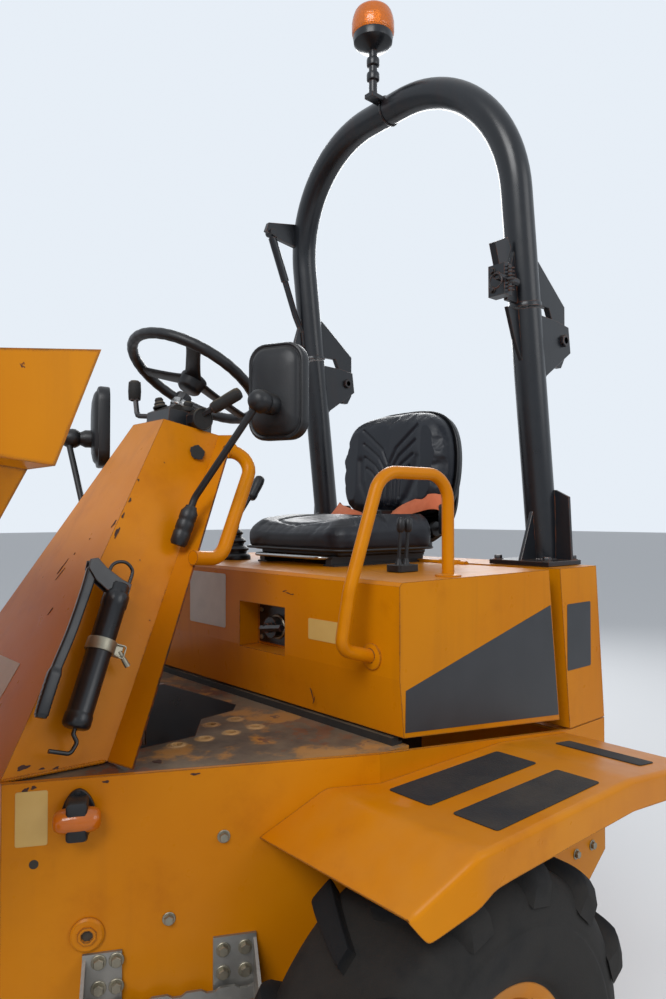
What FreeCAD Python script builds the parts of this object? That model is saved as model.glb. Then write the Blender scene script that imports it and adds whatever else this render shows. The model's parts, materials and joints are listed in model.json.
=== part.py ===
import FreeCAD, Part
import math
import os
import re
from types import SimpleNamespace

import Sketcher
from FreeCAD import Placement, Rotation, Vector

# Site dumper: an articulated two-axle machine with a skip that swivels and tips at the front,
# and an engine cover with the driver's seat on it at the back.
# Frame: +X forward, +Y to the machine's left, +Z up. The origin is on the ground, at the middle
# of the whole machine. All lengths are millimetres and all angles degrees.

doc = FreeCAD.newDocument("site_dumper")

# Driving dimensions: name, value, what it is
DIMENSIONS = [
    ("tyre_radius", 422, "tyre radius over the lugs"),
    ("tyre_width", 288, "tyre section width"),
    ("track_half", 755, "machine centre to tyre centre"),
    ("rim_radius", 190, "rim seat radius"),
    ("rear_axle_x", -1000, "rear axle station"),
    ("front_axle_x", 850, "front axle station"),
    ("axle_z", 422, "axle height"),
    ("lug_height", 26, "height of a tyre lug"),
    ("lug_pairs", 13, "lugs on each side of a tyre"),
    ("wheel_sides", 18, "flats round a tyre or a rim"),
    ("pivot_x", -90, "articulation pin station"),
    ("nose_x", -365, "front face of the rear chassis"),
    ("nose_half", 280, "half width of the rear chassis at its nose"),
    ("kink_x", -977, "where the side plates turn parallel"),
    ("side_half", 600, "half width of chassis and engine cover"),
    ("rear_x", -1850, "rear face of the rear chassis"),
    ("deck_z", 974, "deck level"),
    ("ledge_x", -1675, "foot of the falling ledge"),
    ("ledge_z", 888, "height of the ledge's foot"),
    ("belly_z", 420, "bottom edge of the chassis plates"),
    ("weight_x", -1742, "front face of the rear counterweight"),
    ("tail_z", 530, "bottom edge of the rear face"),
    ("jaw_z", 600, "middle height of the towing jaw"),
    ("plate", 8, "chassis plate thickness"),
    ("hole_radius", 10, "radius of a deck hole"),
    ("cover_front_x", -1035, "front face of the engine cover"),
    ("cover_rear_x", -1625, "rear foot of the engine cover"),
    ("cover_low_z", 990, "cover's lower edge at its front corner"),
    ("cover_foot_z", 922, "cover's lower edge at its rear foot"),
    ("cover_top_z", 1306, "top of the engine cover and rear housing"),
    ("cover_top_rear_x", -1580, "rear edge of the cover's top"),
    ("sheet", 4, "sheet metal thickness"),
    ("housing_top_x", -1812, "rear top edge of the rear housing"),
    ("slot_pitch", 44, "spacing of the housing's cooling slots"),
    ("fender_z", 917, "top of the mudguards"),
    ("fender_out", 920, "outer edge of the mudguards"),
    ("rops_half", 461, "machine centre to the hoop's uprights"),
    ("rops_base_x", -1775, "foot of the hoop's uprights"),
    ("rops_lean", 6.8, "forward lean of the hoop"),
    ("rops_radius", 43, "radius of the hoop's tube"),
    ("rops_gap_z", 2016, "height of the hoop's joint"),
    ("rops_bend", 390, "radius of the hoop's bends"),
    ("rops_top_z", 2728, "height of the hoop's top, tube centre"),
    ("fold_x", -1835, "fold pin station"),
    ("fold_z", 1945, "fold pin height"),
    ("wheel_hub_x", -902, "steering wheel hub station"),
    ("wheel_hub_z", 1773, "steering wheel hub height"),
    ("wheel_tilt", 31, "lean of the steering column"),
    ("wheel_radius", 172, "steering wheel radius to the rim's centre"),
    ("swivel_x", 675, "skip swivel axis station"),
    ("tip_x", 1415, "tipping pin station"),
    ("tip_z", 905, "tipping pin height"),
    ("skip_floor_z", 960, "underside of the skip's floor"),
    ("skip_wall", 8, "skip plate thickness"),
    ("skip_floor_half", 437, "half width of the skip's floor"),
    ("skip_side_lean", 26.14, "outward lean of the skip's sides"),
    ("skip_rear_x", -312, "rear edge of the skip's rim"),
    ("skip_rim_z", 1640, "height of the skip's rear rim"),
    ("skip_rear_lean", 20, "lean of the skip's rear plate"),
    ("skip_ear_half", 800, "half width over the skip's rear ears"),
    ("skip_ear_z", 1500, "height of the fold below the ears"),
    ("ear_tip_x", 300, "station where an ear runs out in the side"),
    ("floor_front_x", 1300, "front edge of the skip's floor"),
    ("lip_x", 1900, "station of the pouring lip"),
    ("lip_z", 1390, "height of the pouring lip"),
    ("ram_foot_x", 1215, "tipping ram's foot pin station"),
    ("ram_foot_z", 785, "tipping ram's foot pin height"),
    ("ram_eye_x", 330, "tipping ram's eye station, skip down"),
    ("ram_eye_z", 905, "tipping ram's eye height, skip down"),
    ("steer_foot_x", -454, "steering ram's foot pin station"),
    ("steer_foot_y", 210, "steering ram's foot pin offset"),
    ("steer_eye_x", -62.2, "steering ram's eye station"),
    ("steer_eye_y", 116.7, "steering ram's eye offset"),
    ("steer_z", 545, "steering ram height"),
    ("seat_front_x", -1215, "front of the seat cushion"),
    ("seat_back_x", -1605, "front of the seat's backrest"),
    ("seat_half", 228, "half width of the seat"),
]

dims = doc.addObject("Spreadsheet::Sheet", "dims")
dims.Label = "driving_dimensions"
for row, (alias, value, meaning) in enumerate(DIMENSIONS, start=1):
    dims.set("A%d" % row, alias)
    dims.set("B%d" % row, str(value))
    dims.set("C%d" % row, meaning)
    dims.setAlias("B%d" % row, alias)
doc.recompute()
S = SimpleNamespace(**{alias: float(dims.get(alias)) for alias, _, _ in DIMENSIONS})

X_AXIS = Vector(1, 0, 0)
Y_AXIS = Vector(0, 1, 0)
Z_AXIS = Vector(0, 0, 1)

sub_parts = {}


# Shape helpers


def polygon_face(points):
    """A flat face through the points in order."""
    corners = [Vector(*p) for p in points]
    return Part.Face(Part.makePolygon(corners + corners[:1]))


def prism_xz(points, y_low, y_high):
    """A profile of (x, z) points carried from y_low to y_high."""
    return polygon_face([(x, y_low, z) for x, z in points]).extrude(Vector(0, y_high - y_low, 0))


def prism_xy(points, z_low, z_high):
    """A profile of (x, y) points carried from z_low to z_high."""
    return polygon_face([(x, y, z_low) for x, y in points]).extrude(Vector(0, 0, z_high - z_low))


def prism_yz(points, x_low, x_high):
    """A profile of (y, z) points carried from x_low to x_high."""
    return polygon_face([(x_low, y, z) for y, z in points]).extrude(Vector(x_high - x_low, 0, 0))


def box(x, y, z):
    """A box from (low, high) pairs."""
    return Part.makeBox(x[1] - x[0], y[1] - y[0], z[1] - z[0], Vector(x[0], y[0], z[0]))


def rod(start, end, radius):
    """A round bar between two points."""
    a = Vector(*start)
    b = Vector(*end)
    return Part.makeCylinder(radius, (b - a).Length, a, b - a)


def solid_of(faces):
    """A closed solid from flat faces given by their corners; a warped face is cut in triangles."""
    made = []
    for corners in faces:
        points = [Vector(*c) for c in corners]
        normal = (points[1] - points[0]).cross(points[2] - points[0]).normalize()
        warped = any(abs((p - points[0]).dot(normal)) > 1e-6 for p in points[3:])
        if warped:
            made += [polygon_face([corners[0], corners[i], corners[i + 1]])
                     for i in range(1, len(corners) - 1)]
        else:
            made.append(polygon_face(corners))
    shell = Part.Shell(made)
    shell.sewShape()
    solid = Part.Solid(shell)
    solid.fix(1e-4, 1e-4, 1e-4)
    if solid.Volume < 0:
        solid.reverse()
    return solid


def mirrored(shape):
    """The same shape on the machine's other side."""
    return shape.mirror(Vector(0, 0, 0), Y_AXIS)


def pair(shape):
    """A shape on the left and its twin on the right, as one compound."""
    return Part.makeCompound([shape, mirrored(shape)])


def fused(first, *others):
    """One solid from touching shapes."""
    return first.fuse(list(others)).removeSplitter()


def hollowed(solid, is_open, wall):
    """A shell of the given wall inside the solid, open at the faces that is_open picks."""
    return solid.makeThickness([f for f in solid.Faces if is_open(f)], -wall, 1e-3)


def panelled(solid, is_open, wall, folds=()):
    """Plates of the given wall under each closed flat face, joined inside concave folds."""
    plates = []
    for face in solid.Faces:
        if is_open(face):
            continue
        plates.append(face.extrude(face.normalAt(0, 0) * -wall))
    plates += [stub(a, b, wall, 6) for a, b in folds]
    return plates[0].fuse(plates[1:]).common(solid).removeSplitter()


def ring_about(centre, side, other, radius, sides):
    """Corners of a regular polygon about a centre, in the plane of two unit vectors."""
    step = 2 * math.pi / sides
    turns = [step * (i + 0.5) for i in range(sides)]
    return [centre + side * (radius * math.cos(turn)) + other * (radius * math.sin(turn)) for turn in turns]


def skinned(rings):
    """A solid of flat faces between rings of corners, with an end face on the first and last."""
    faces = []
    count = len(rings[0])
    for ring, further in zip(rings, rings[1:]):
        for i in range(count):
            j = (i + 1) % count
            faces.append([tuple(p) for p in (ring[i], ring[j], further[j], further[i])])
    faces.append([tuple(p) for p in rings[0]])
    faces.append([tuple(p) for p in rings[-1]])
    return solid_of(faces)


def bent_bar(points, bends, radius, sides=10, steps=4):
    """A bar of a many-sided section along straight runs, mitred in steps round each bend."""
    route = [Vector(*p) for p in points]
    path = [route[0]]
    for i, bend in enumerate(bends, start=1):
        into = (route[i] - route[i - 1]).normalize()
        out = (route[i + 1] - route[i]).normalize()
        turn = into.getAngle(out)
        inward = (out - into).normalize()
        along = (out + into).normalize()
        centre = route[i] + inward * (bend / math.cos(turn / 2))
        for k in range(steps + 1):
            angle = turn * (k / steps - 0.5)
            path.append(centre - inward * (bend * math.cos(angle)) + along * (bend * math.sin(angle)))
    path.append(route[-1])
    first = (path[1] - path[0]).normalize()
    side = first.cross(Y_AXIS if abs(first.y) < 0.9 else X_AXIS).normalize()
    ring = ring_about(path[0], side, first.cross(side), radius, sides)
    rings = [ring]
    for i in range(1, len(path)):
        heading = (path[i] - path[i - 1]).normalize()
        onward = (path[i + 1] - path[i]).normalize() if i + 1 < len(path) else heading
        mitre = (heading + onward).normalize()
        ring = [p + heading * ((path[i] - p).dot(mitre) / heading.dot(mitre)) for p in ring]
        rings.append(ring)
    return skinned(rings)


def turned_flats(outline, sides, axis=Y_AXIS):
    """A closed (radius, height) outline carried round an axis in flats, as a many-sided ring or disc."""
    side = Z_AXIS if abs(axis.x) > 0.9 else X_AXIS
    other = axis.cross(side)
    step = 2 * math.pi / sides

    def place(i, radius, height):
        angle = step * i
        return tuple(axis * height + side * (radius * math.cos(angle)) + other * (radius * math.sin(angle)))

    faces = []
    for (r0, h0), (r1, h1) in zip(outline, outline[1:] + outline[:1]):
        if r0 == 0 and r1 == 0:
            continue
        if h0 == h1 and 0 in (r0, r1):
            faces.append([place(i, max(r0, r1), h0) for i in range(sides)])
            continue
        for i in range(sides):
            corners = [place(i, r0, h0), place(i + 1, r0, h0), place(i + 1, r1, h1), place(i, r1, h1)]
            faces.append(corners[1:] if r0 == 0 else corners[:3] if r1 == 0 else corners)
    return solid_of(faces)


def stub(start, end, radius, sides=12):
    """A straight many-sided bar between two points."""
    return bent_bar([tuple(start), tuple(end)], [], radius, sides)


def keep(label, shape, placement=None):
    """Store a finished shape as a named sub-part, at its place in the machine."""
    item = doc.addObject("Part::Feature", label)
    item.Label = label
    item.Shape = shape
    if placement is not None:
        item.Placement = placement
    sub_parts[label] = item
    return item


WORDS = re.compile(r"\b(%s)\b" % "|".join(alias for alias, _, _ in DIMENSIONS))


def bound(expression):
    """An expression in the sheet's own words, with the sheet's name before each."""
    return WORDS.sub(r"dims.\1", str(expression))


def number(expression):
    """The value of an expression on the sheet."""
    return float(dims.evalExpression(bound(expression)))


def new_body(label):
    """An empty body under its sub-part's name."""
    body = doc.addObject("PartDesign::Body", label)
    body.Label = label
    sub_parts[label] = body
    return body


def sketch_outline(body, role, outline, offset="0"):
    """A closed sketch whose every corner is bound to the sheet: outline is (expression, expression)."""
    sketch = body.newObject("Sketcher::SketchObject", body.Label + "_sketch")
    plane = [f for f in body.Origin.OriginFeatures if f.Role == role][0]
    sketch.AttachmentSupport = [(plane, "")]
    sketch.MapMode = "FlatFace"
    sketch.setExpression("AttachmentOffset.Base.z", bound(offset))
    corners = [Vector(number(a), number(b), 0) for a, b in outline]
    count = len(corners)
    for i in range(count):
        sketch.addGeometry(Part.LineSegment(corners[i], corners[(i + 1) % count]), False)
    for i in range(count):
        sketch.addConstraint(Sketcher.Constraint("Coincident", i, 2, (i + 1) % count, 1))
    for i, pair_of in enumerate(outline):
        for kind, axis, expression in zip(("DistanceX", "DistanceY"), (-2, -1), pair_of):
            value = number(expression)
            if abs(value) < 1e-9:
                sketch.addConstraint(Sketcher.Constraint("PointOnObject", i, 1, axis))
                continue
            index = sketch.addConstraint(Sketcher.Constraint(kind, -1, 1, i, 1, value))
            sketch.setExpression("Constraints[%d]" % index, bound(expression))
    return sketch


def add_pad(body, role, outline, length, offset="0"):
    """Material from an outline on a plane of the body, half its length to each side."""
    pad = body.newObject("PartDesign::Pad", body.Label + "_pad")
    pad.Profile = sketch_outline(body, role, outline, offset)
    pad.SideType = "Symmetric"
    pad.setExpression("Length", bound(length))
    return pad


def add_pocket(body, role, outline, length, offset="0"):
    """A cut from an outline on a plane of the body, half its length to each side."""
    pocket = body.newObject("PartDesign::Pocket", body.Label + "_pocket")
    pocket.Profile = sketch_outline(body, role, outline, offset)
    pocket.Type = "Length"
    pocket.SideType = "Symmetric"
    pocket.setExpression("Length", bound(length))
    return pocket


def rectangle(low, high, start, end):
    """A sketch outline from low to high across and from start to end up, as expressions."""
    return [(low, start), (high, start), (high, end), (low, end)]


def block(label, x, y, z):
    """A box from (low, high) expression pairs."""
    item = doc.addObject("Part::Box", label)
    for axis, size, (low, high) in zip("xyz", ("Length", "Width", "Height"), (x, y, z)):
        item.setExpression("Placement.Base." + axis, bound(low))
        item.setExpression(size, bound("(%s) - (%s)" % (high, low)))
    return item


def joined(label, *pieces):
    """One sub-part from touching objects of the document."""
    item = doc.addObject("Part::MultiFuse", label)
    item.Label = label
    item.Shapes = list(pieces)
    item.Refine = True
    sub_parts[label] = item
    return item


def with_twin(label, source):
    """A sub-part of an object on the left and its mirror image on the right."""
    twin = doc.addObject("Part::Mirroring", label + "_twin")
    twin.Source = source
    twin.Normal = Y_AXIS
    both = doc.addObject("Part::Compound", label)
    both.Label = label
    both.Links = [source, twin]
    sub_parts[label] = both
    return both


# Rear chassis: a tub of plates with the nose and its two lugs for the articulation pin


def side_plate_y(x):
    """Outer face of the flared left side plate at a station."""
    share = (S.nose_x - x) / (S.nose_x - S.kink_x)
    return S.nose_half + share * (S.side_half - S.nose_half)


def flare_angle():
    """Angle of the flared side plates to the machine's length."""
    return math.degrees(math.atan2(S.side_half - S.nose_half, S.nose_x - S.kink_x))


def side_plate_place(x, z):
    """Placement of a piece drawn with its foot on the XZ plane, onto the left side plate."""
    return Placement(Vector(x, side_plate_y(x) + 0.3, z), Rotation(Z_AXIS, -flare_angle()))


def make_rear_chassis():
    """Plates in plan, cut down to the falling ledge, with cross members, nose lugs and hitch."""
    t = S.plate
    outer = [(S.nose_x, -S.nose_half), (S.nose_x, S.nose_half), (S.kink_x, S.side_half),
             (S.rear_x, S.side_half), (S.rear_x, -S.side_half), (S.kink_x, -S.side_half)]
    inner = [(S.nose_x - t, -S.nose_half + t), (S.nose_x - t, S.nose_half - t),
             (S.kink_x - t * 0.3, S.side_half - t), (S.rear_x + t, S.side_half - t),
             (S.rear_x + t, -S.side_half + t), (S.kink_x - t * 0.3, -S.side_half + t)]
    tub = prism_xy(outer, S.belly_z, S.deck_z).cut(prism_xy(inner, S.belly_z - 1, S.deck_z + 1))
    weight = box((S.rear_x + t / 2, S.weight_x), (-S.side_half + t / 2, S.side_half - t / 2),
                 (S.belly_z, S.ledge_z - 6))
    side_view = [(S.nose_x + 1, S.belly_z), (S.nose_x + 1, S.deck_z), (S.kink_x, S.deck_z),
                 (S.ledge_x, S.ledge_z), (S.rear_x - 1, S.ledge_z), (S.rear_x - 1, S.tail_z),
                 (S.weight_x, S.tail_z - 74), (-1560, S.belly_z)]
    tub = tub.fuse(weight).common(prism_xz(side_view, -700, 700))
    axle_notch = stub((S.rear_axle_x, -700, S.axle_z), (S.rear_axle_x, 700, S.axle_z), 122, 10)
    tub = tub.cut(axle_notch)
    inside = S.side_half - t
    members = [box((-1590, -1530), (-inside, inside), (560, 600)),
               box((-900, -840), (-520, 520), (560, 600))]
    rails = [box((-1590, -840), (y, y + 50), (484, 602)) for y in (-145, 95)]
    shelf = box((S.weight_x - 2, S.ledge_x), (-inside, inside), (S.ledge_z - 14, S.ledge_z - 6))
    tub = fused(tub, *members, *rails, shelf)
    # The nose: window for the steering ram, two lugs and the pin
    tub = tub.cut(box((S.nose_x - 20, S.nose_x + 5), (105, 255), (505, 585)))
    lug_plan = [(S.nose_x - 4, -190), (S.nose_x - 4, 190), (S.pivot_x - 30, 74), (S.pivot_x + 26, 70),
                (S.pivot_x + 64, 40), (S.pivot_x + 75, 0), (S.pivot_x + 64, -40), (S.pivot_x + 26, -70),
                (S.pivot_x - 30, -74)]
    lugs = [prism_xy(lug_plan, low, low + 30) for low in (405, 655)]
    boss = stub((0, 0, 0), (0, 16, 0), 17, 8).cut(stub((0, 4, 0), (0, 20, 0), 11, 8))
    boss.Placement = side_plate_place(-493, 697).multiply(Placement(Vector(0, -6, 0), Rotation()))
    pin = stub((S.pivot_x, 0, 398), (S.pivot_x, 0, 698), 25)
    ears = [box((S.steer_foot_x - 38, S.nose_x - 4), (165, 255), (z, z + 10)) for z in (493, 587)]
    foot_pin = stub((S.steer_foot_x, S.steer_foot_y, 483), (S.steer_foot_x, S.steer_foot_y, 607), 12, 10)
    nose = fused(lugs[0], pin, lugs[1])
    ear_set = fused(ears[0], foot_pin, ears[1])
    # Towing jaw on the rear face, with its own drop pin hole
    jaws = [box((S.rear_x - 50, S.rear_x + 2), (-45, 45), (S.jaw_z + z, S.jaw_z + z + 14))
            for z in (-40, 26)]
    jaws = [j.cut(Part.makeCylinder(14, 30, Vector(S.rear_x - 26, 0, j.BoundBox.ZMin - 5), Z_AXIS))
            for j in jaws]
    return fused(tub, nose, ear_set, boss, mirrored(boss), *jaws)


keep("rear_chassis", make_rear_chassis())


# The floor plate in front of the engine cover, pierced by rows of holes for grip
deck = new_body("deck_sheet")
add_pad(deck, "XY_Plane", [
    ("nose_x - 11", "nose_half - 11"), ("nose_x - 11", "11 - nose_half"),
    ("kink_x - 4", "13 - side_half"), ("cover_front_x - 40", "13 - side_half"),
    ("cover_front_x - 40", "side_half - 13"), ("kink_x - 4", "side_half - 13")],
    "plate", "deck_z - 10")
del sub_parts["deck_sheet"]
HOLE_ROWS, HOLES_IN_ROW = 2, 4
holes = []
for side in (-1, 1):
    for i in range(HOLES_IN_ROW):
        for j in range(HOLE_ROWS):
            hole = doc.addObject("Part::Prism", "deck_hole")
            hole.Polygon = 6
            hole.setExpression("Circumradius", "dims.hole_radius")
            hole.setExpression("Height", "dims.plate * 3")
            hole.setExpression("Placement.Base.x", "dims.nose_x - 350 - 66 * %d" % i)
            hole.setExpression("Placement.Base.y", "%d * (dims.nose_half - 90 + 80 * %d)" % (side, j))
            hole.setExpression("Placement.Base.z", "dims.deck_z - 22")
            holes.append(hole)
hole_set = doc.addObject("Part::Compound", "deck_holes")
hole_set.Links = holes
deck_plate = doc.addObject("Part::Cut", "deck_plate")
deck_plate.Label = "deck_plate"
deck_plate.Base = deck
deck_plate.Tool = hole_set
sub_parts["deck_plate"] = deck_plate

# The leaning housing behind the engine cover, open below, with cooling slots in its rear face
housing = new_body("rear_housing")
housing_pad = add_pad(housing, "XZ_Plane", [
    ("ledge_x", "ledge_z + 2"), ("rear_x", "ledge_z + 2"), ("housing_top_x", "cover_top_z"),
    ("cover_top_rear_x - 52", "cover_top_z")], "side_half * 2")
doc.recompute()
open_face = [i for i, f in enumerate(housing_pad.Shape.Faces, start=1)
             if f.CenterOfMass.z < S.ledge_z + 3][0]
skin = housing.newObject("PartDesign::Thickness", "rear_housing_skin")
skin.Base = (housing_pad, ["Face%d" % open_face])
skin.Value = 5
skin.Reversed = True
doc.recompute()
SLOTS = 5
for low, high in (("-400", "-150"), ("-130", "130"), ("150", "400")):
    slot = add_pocket(housing, "YZ_Plane", rectangle(low, high, "ledge_z + 80", "ledge_z + 98"),
                      "110", "rear_x + 15")
    row = housing.newObject("PartDesign::LinearPattern", "rear_housing_slots")
    row.Originals = [slot]
    row.Direction = (slot.Profile[0], ["V_Axis"])
    row.Mode = "Spacing"
    row.Occurrences = SLOTS
    row.setExpression("Offset", "dims.slot_pitch")
    housing.Tip = row


# Steering tower: a leaning tapered box, its side plates folded outward along the rear edge


def make_tower():
    """A tapered box from deck to dash, from its corners on the left side."""
    base = S.deck_z
    left = {"low_front": (S.nose_x, 270, base), "low_fold": (-555, 288, base),
            "low_rear": (-572, 364, base), "top_front": (-785, 78, 1670),
            "top_fold": (-925, 95, 1640), "top_rear": (-937, 146, 1637)}
    right = {name: (x, -y, z) for name, (x, y, z) in left.items()}
    loop = ("front", "fold", "rear")
    faces = [[left["low_" + n] for n in loop] + [right["low_" + n] for n in reversed(loop)],
             [left["top_front"], left["top_fold"], right["top_fold"], right["top_front"]],
             [left["low_front"], right["low_front"], right["top_front"], left["top_front"]],
             [left["low_rear"], right["low_rear"], right["top_rear"], left["top_rear"]]]
    faces.append([left["top_fold"], left["top_rear"], right["top_rear"], right["top_fold"]])
    for side in (left, right):
        faces.append([side["low_front"], side["low_fold"], side["top_fold"], side["top_front"]])
        faces.append([side["low_fold"], side["low_rear"], side["top_rear"], side["top_fold"]])
    return solid_of(faces)


tower_shape = make_tower()
keep("steering_tower", tower_shape)


def make_dash():
    """The black instrument block on the tower's top, the column and two control levers."""
    low = [[Vector(x, y, z) for x, y, z in ring] for ring in (
        [(-922, -62, 1630), (-806, -56, 1650), (-806, 56, 1650), (-922, 62, 1630)],
        [(-928, -62, 1688), (-812, -56, 1700), (-812, 56, 1700), (-928, 62, 1688)],
        [(-914, -44, 1706), (-838, -40, 1714), (-838, 40, 1714), (-914, 44, 1706)])]
    lean = math.radians(S.wheel_tilt)
    up = Vector(-math.sin(lean), 0, math.cos(lean))
    hub = Vector(S.wheel_hub_x, 0, S.wheel_hub_z)
    column = stub(hub - up * 104, hub - up * 33, 20, 8)
    right_lever = bent_bar([(-838, -30, 1690), (-812, -112, 1698), (-812, -126, 1760)], [14], 7, 6, 2)
    right_knob = stub((-812, -127, 1740), (-812, -127, 1788), 15, 6)
    left_lever = bent_bar([(-866, 46, 1680), (-876, 84, 1682), (-924, 158, 1727)], [40], 8, 6, 1)
    left_grip = stub((-896, 116, 1701), (-934, 172, 1736), 14, 8)
    side_dial = stub((-880, 50, 1676), (-880, 92, 1676), 25, 8)
    dash = fused(skinned(low), column, right_lever, right_knob, left_lever, left_grip, side_dial)
    return dash.cut(tower_shape)


keep("dash_block", make_dash())

# Grab rails on the tower's folded rear edges
tower_rail = bent_bar([(-925, 168, 1598), (-985, 176, 1612), (-843, 234, 1346), (-764, 247, 1352)],
                      [42, 52], 16, 6, 3)
tower_rail = tower_rail.cut(tower_shape)
keep("tower_rails", pair(tower_rail))


def rounded_outline(half_y, half_z, corner, steps=2):
    """Corners of a rounded rectangle about the origin, as (y, z)."""
    points = []
    for quarter, (cy, cz) in enumerate([(1, 1), (-1, 1), (-1, -1), (1, -1)]):
        for k in range(steps + 1):
            angle = math.pi / 2 * (quarter + k / steps)
            points.append((cy * (half_y - corner) + corner * math.cos(angle),
                           cz * (half_z - corner) + corner * math.sin(angle)))
    return points


def make_mirror(head, yaw, foot, knee):
    """A domed mirror head facing rearward on a bent stem, with its boot on the tower."""
    sections = [(-20, 74, 110, 38), (4, 72, 107, 36), (26, 52, 90, 30)]
    rings = [[Vector(x, y, z) for y, z in rounded_outline(half_y, half_z, corner)]
             for x, half_y, half_z, corner in sections]
    socket = turned_flats([(0, 0), (22, 0), (22, 34), (15, 42), (24, 52), (22, 80), (0, 80)], 8, X_AXIS)
    socket.translate(Vector(20, 0, -32))
    mirror = skinned(rings).fuse(socket)
    mirror.Placement = Placement(Vector(*head), Rotation(Z_AXIS, yaw))
    joint = mirror.Placement.multVec(Vector(84, 0, -36))
    stem = bent_bar([tuple(joint), knee, foot], [40], 8, 6, 1)
    run = (Vector(*foot) - Vector(*knee)).normalize()
    low = Vector(*foot)
    boot = turned_flats([(0, 0), (13, 0), (19, 18), (19, 86), (0, 92)], 8, Z_AXIS)
    boot.Placement = Placement(low - run * 46, Rotation(Z_AXIS, run))
    return fused(mirror, stem, boot).cut(tower_shape)


mirrors = [make_mirror((-960, 322, 1722), 20, (-771, 200, 1420), (-793, 205, 1482)),
           make_mirror((-800, -306, 1684), -20, (-700, -212, 1392), (-722, -226, 1452))]
keep("mirrors", Part.makeCompound(mirrors))


# Mudguards over the rear wheels


def make_fender():
    """A folded guard over the left rear wheel, its outer edge turned down and tapered in front."""
    top = S.fender_z
    lip_x, lip_z, front_x = -766, 836, -880
    rear_x = -1655
    sheet = 5
    upper = [(lip_x, lip_z), (front_x, top), (-1372, top), (rear_x, top - 34)]
    lower = [(x, z - sheet) for x, z in reversed(upper)]
    roof = prism_xz(upper + lower, 470, S.fender_out)
    skirt_low = [(rear_x, top - 94), (-1372, top - 64), (-905, top - 66), (-788, 808)]
    skirt = prism_xz(upper + skirt_low, 850, S.fender_out + 30)
    plan = [(lip_x + 1, 470), (lip_x + 1, 872), (front_x, S.fender_out), (rear_x - 1, S.fender_out),
            (rear_x - 1, 470)]
    inner_plan = [(lip_x + 2, 470), (lip_x + 2, 872 - sheet), (front_x, S.fender_out - sheet),
                  (rear_x - 2, S.fender_out - sheet), (rear_x - 2, 470)]
    skirt = skirt.cut(prism_xy(inner_plan, 600, 1100))
    guard = roof.fuse(skirt).common(prism_xy(plan, 600, 1100))
    gap = 1
    chassis_plan = [(S.nose_x, 0), (S.nose_x, S.nose_half + gap), (S.kink_x, S.side_half + gap),
                    (rear_x - 10, S.side_half + gap), (rear_x - 10, 0)]
    return guard.cut(prism_xy(chassis_plan, 600, 1100)).removeSplitter()


fender = make_fender()
keep("fenders", pair(fender))


# Boarding steps: two bolted plates, bent arms and two serrated bars along each side plate


def make_step():
    """The left step, drawn along its side plate with its outer side at +Y, then put in place."""
    thick = 6
    reach = 128
    plates = []
    for low, high in ((-60, 8), (-302, -222)):
        plates.append(box((low, high), (0, thick), (-116, 0)))
    arms = []
    for x in (2, -302):
        arm = prism_yz([(0, -20), (thick, -8), (reach, -92), (reach, -116), (0, -116)], x, x + thick)
        arms.append(arm)
    teeth = 5
    pitch = 302 / teeth
    outline = [(2 + thick, -112)]
    for i in range(teeth):
        x = 2 + thick - i * pitch
        outline += [(x, -84), (x - pitch * 0.45, -84), (x - pitch * 0.6, -90), (x - pitch * 0.85, -90)]
    outline += [(-302, -84), (-302, -112)]
    bars = [prism_xz(outline, y, y + thick) for y in (thick + 8, reach - thick)]
    step = fused(plates[0], plates[1], *arms, *bars)
    step.Placement = side_plate_place(-493, 663)
    return step


keep("boarding_steps", pair(make_step()))


# Axles: a beam with a swollen middle, flanges at its ends


def octagon(radius):
    """An eight-sided sketch outline about the origin."""
    small = "(%s) * 0.4142" % radius
    big = "(%s)" % radius
    corners = [(big, small), (small, big), ("-" + small, big), ("-" + big, small),
               ("-" + big, "-" + small), ("-" + small, "-" + big), (small, "-" + big), (big, "-" + small)]
    return corners


for name in ("rear", "front"):
    axle = new_body(name + "_axle")
    for radius, length in (("104", "190"), ("50", "track_half * 2 - 300"), ("62", "560")):
        add_pad(axle, "XZ_Plane", octagon(radius), length)
    for side in (-1, 1):
        add_pad(axle, "XZ_Plane", octagon("84"), "36", "%d * (track_half - 160)" % side)
    axle.setExpression("Placement.Base.x", "dims.%s_axle_x" % name)
    axle.setExpression("Placement.Base.z", "dims.axle_z")


# Wheels: a rim with its dish and hub, and a tyre with slanted lugs


def make_rim():
    """A flanged rim with its disc and a round hub, about Y, outer side at +Y."""
    seat = S.rim_radius
    outline = [(0, 10), (seat - 16, 10), (seat - 16, -104), (seat, -104), (seat, 104),
               (seat + 20, 114), (seat - 16, 108), (seat - 16, 22), (0, 22)]
    rim_ring = turned_flats(outline, int(S.wheel_sides))
    hub = stub((0, -90, 0), (0, 58, 0), 60, 8)
    cap = Part.makeCylinder(16, 14, Vector(0, 56, 0), Y_AXIS)
    return fused(rim_ring, hub, cap)


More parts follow.
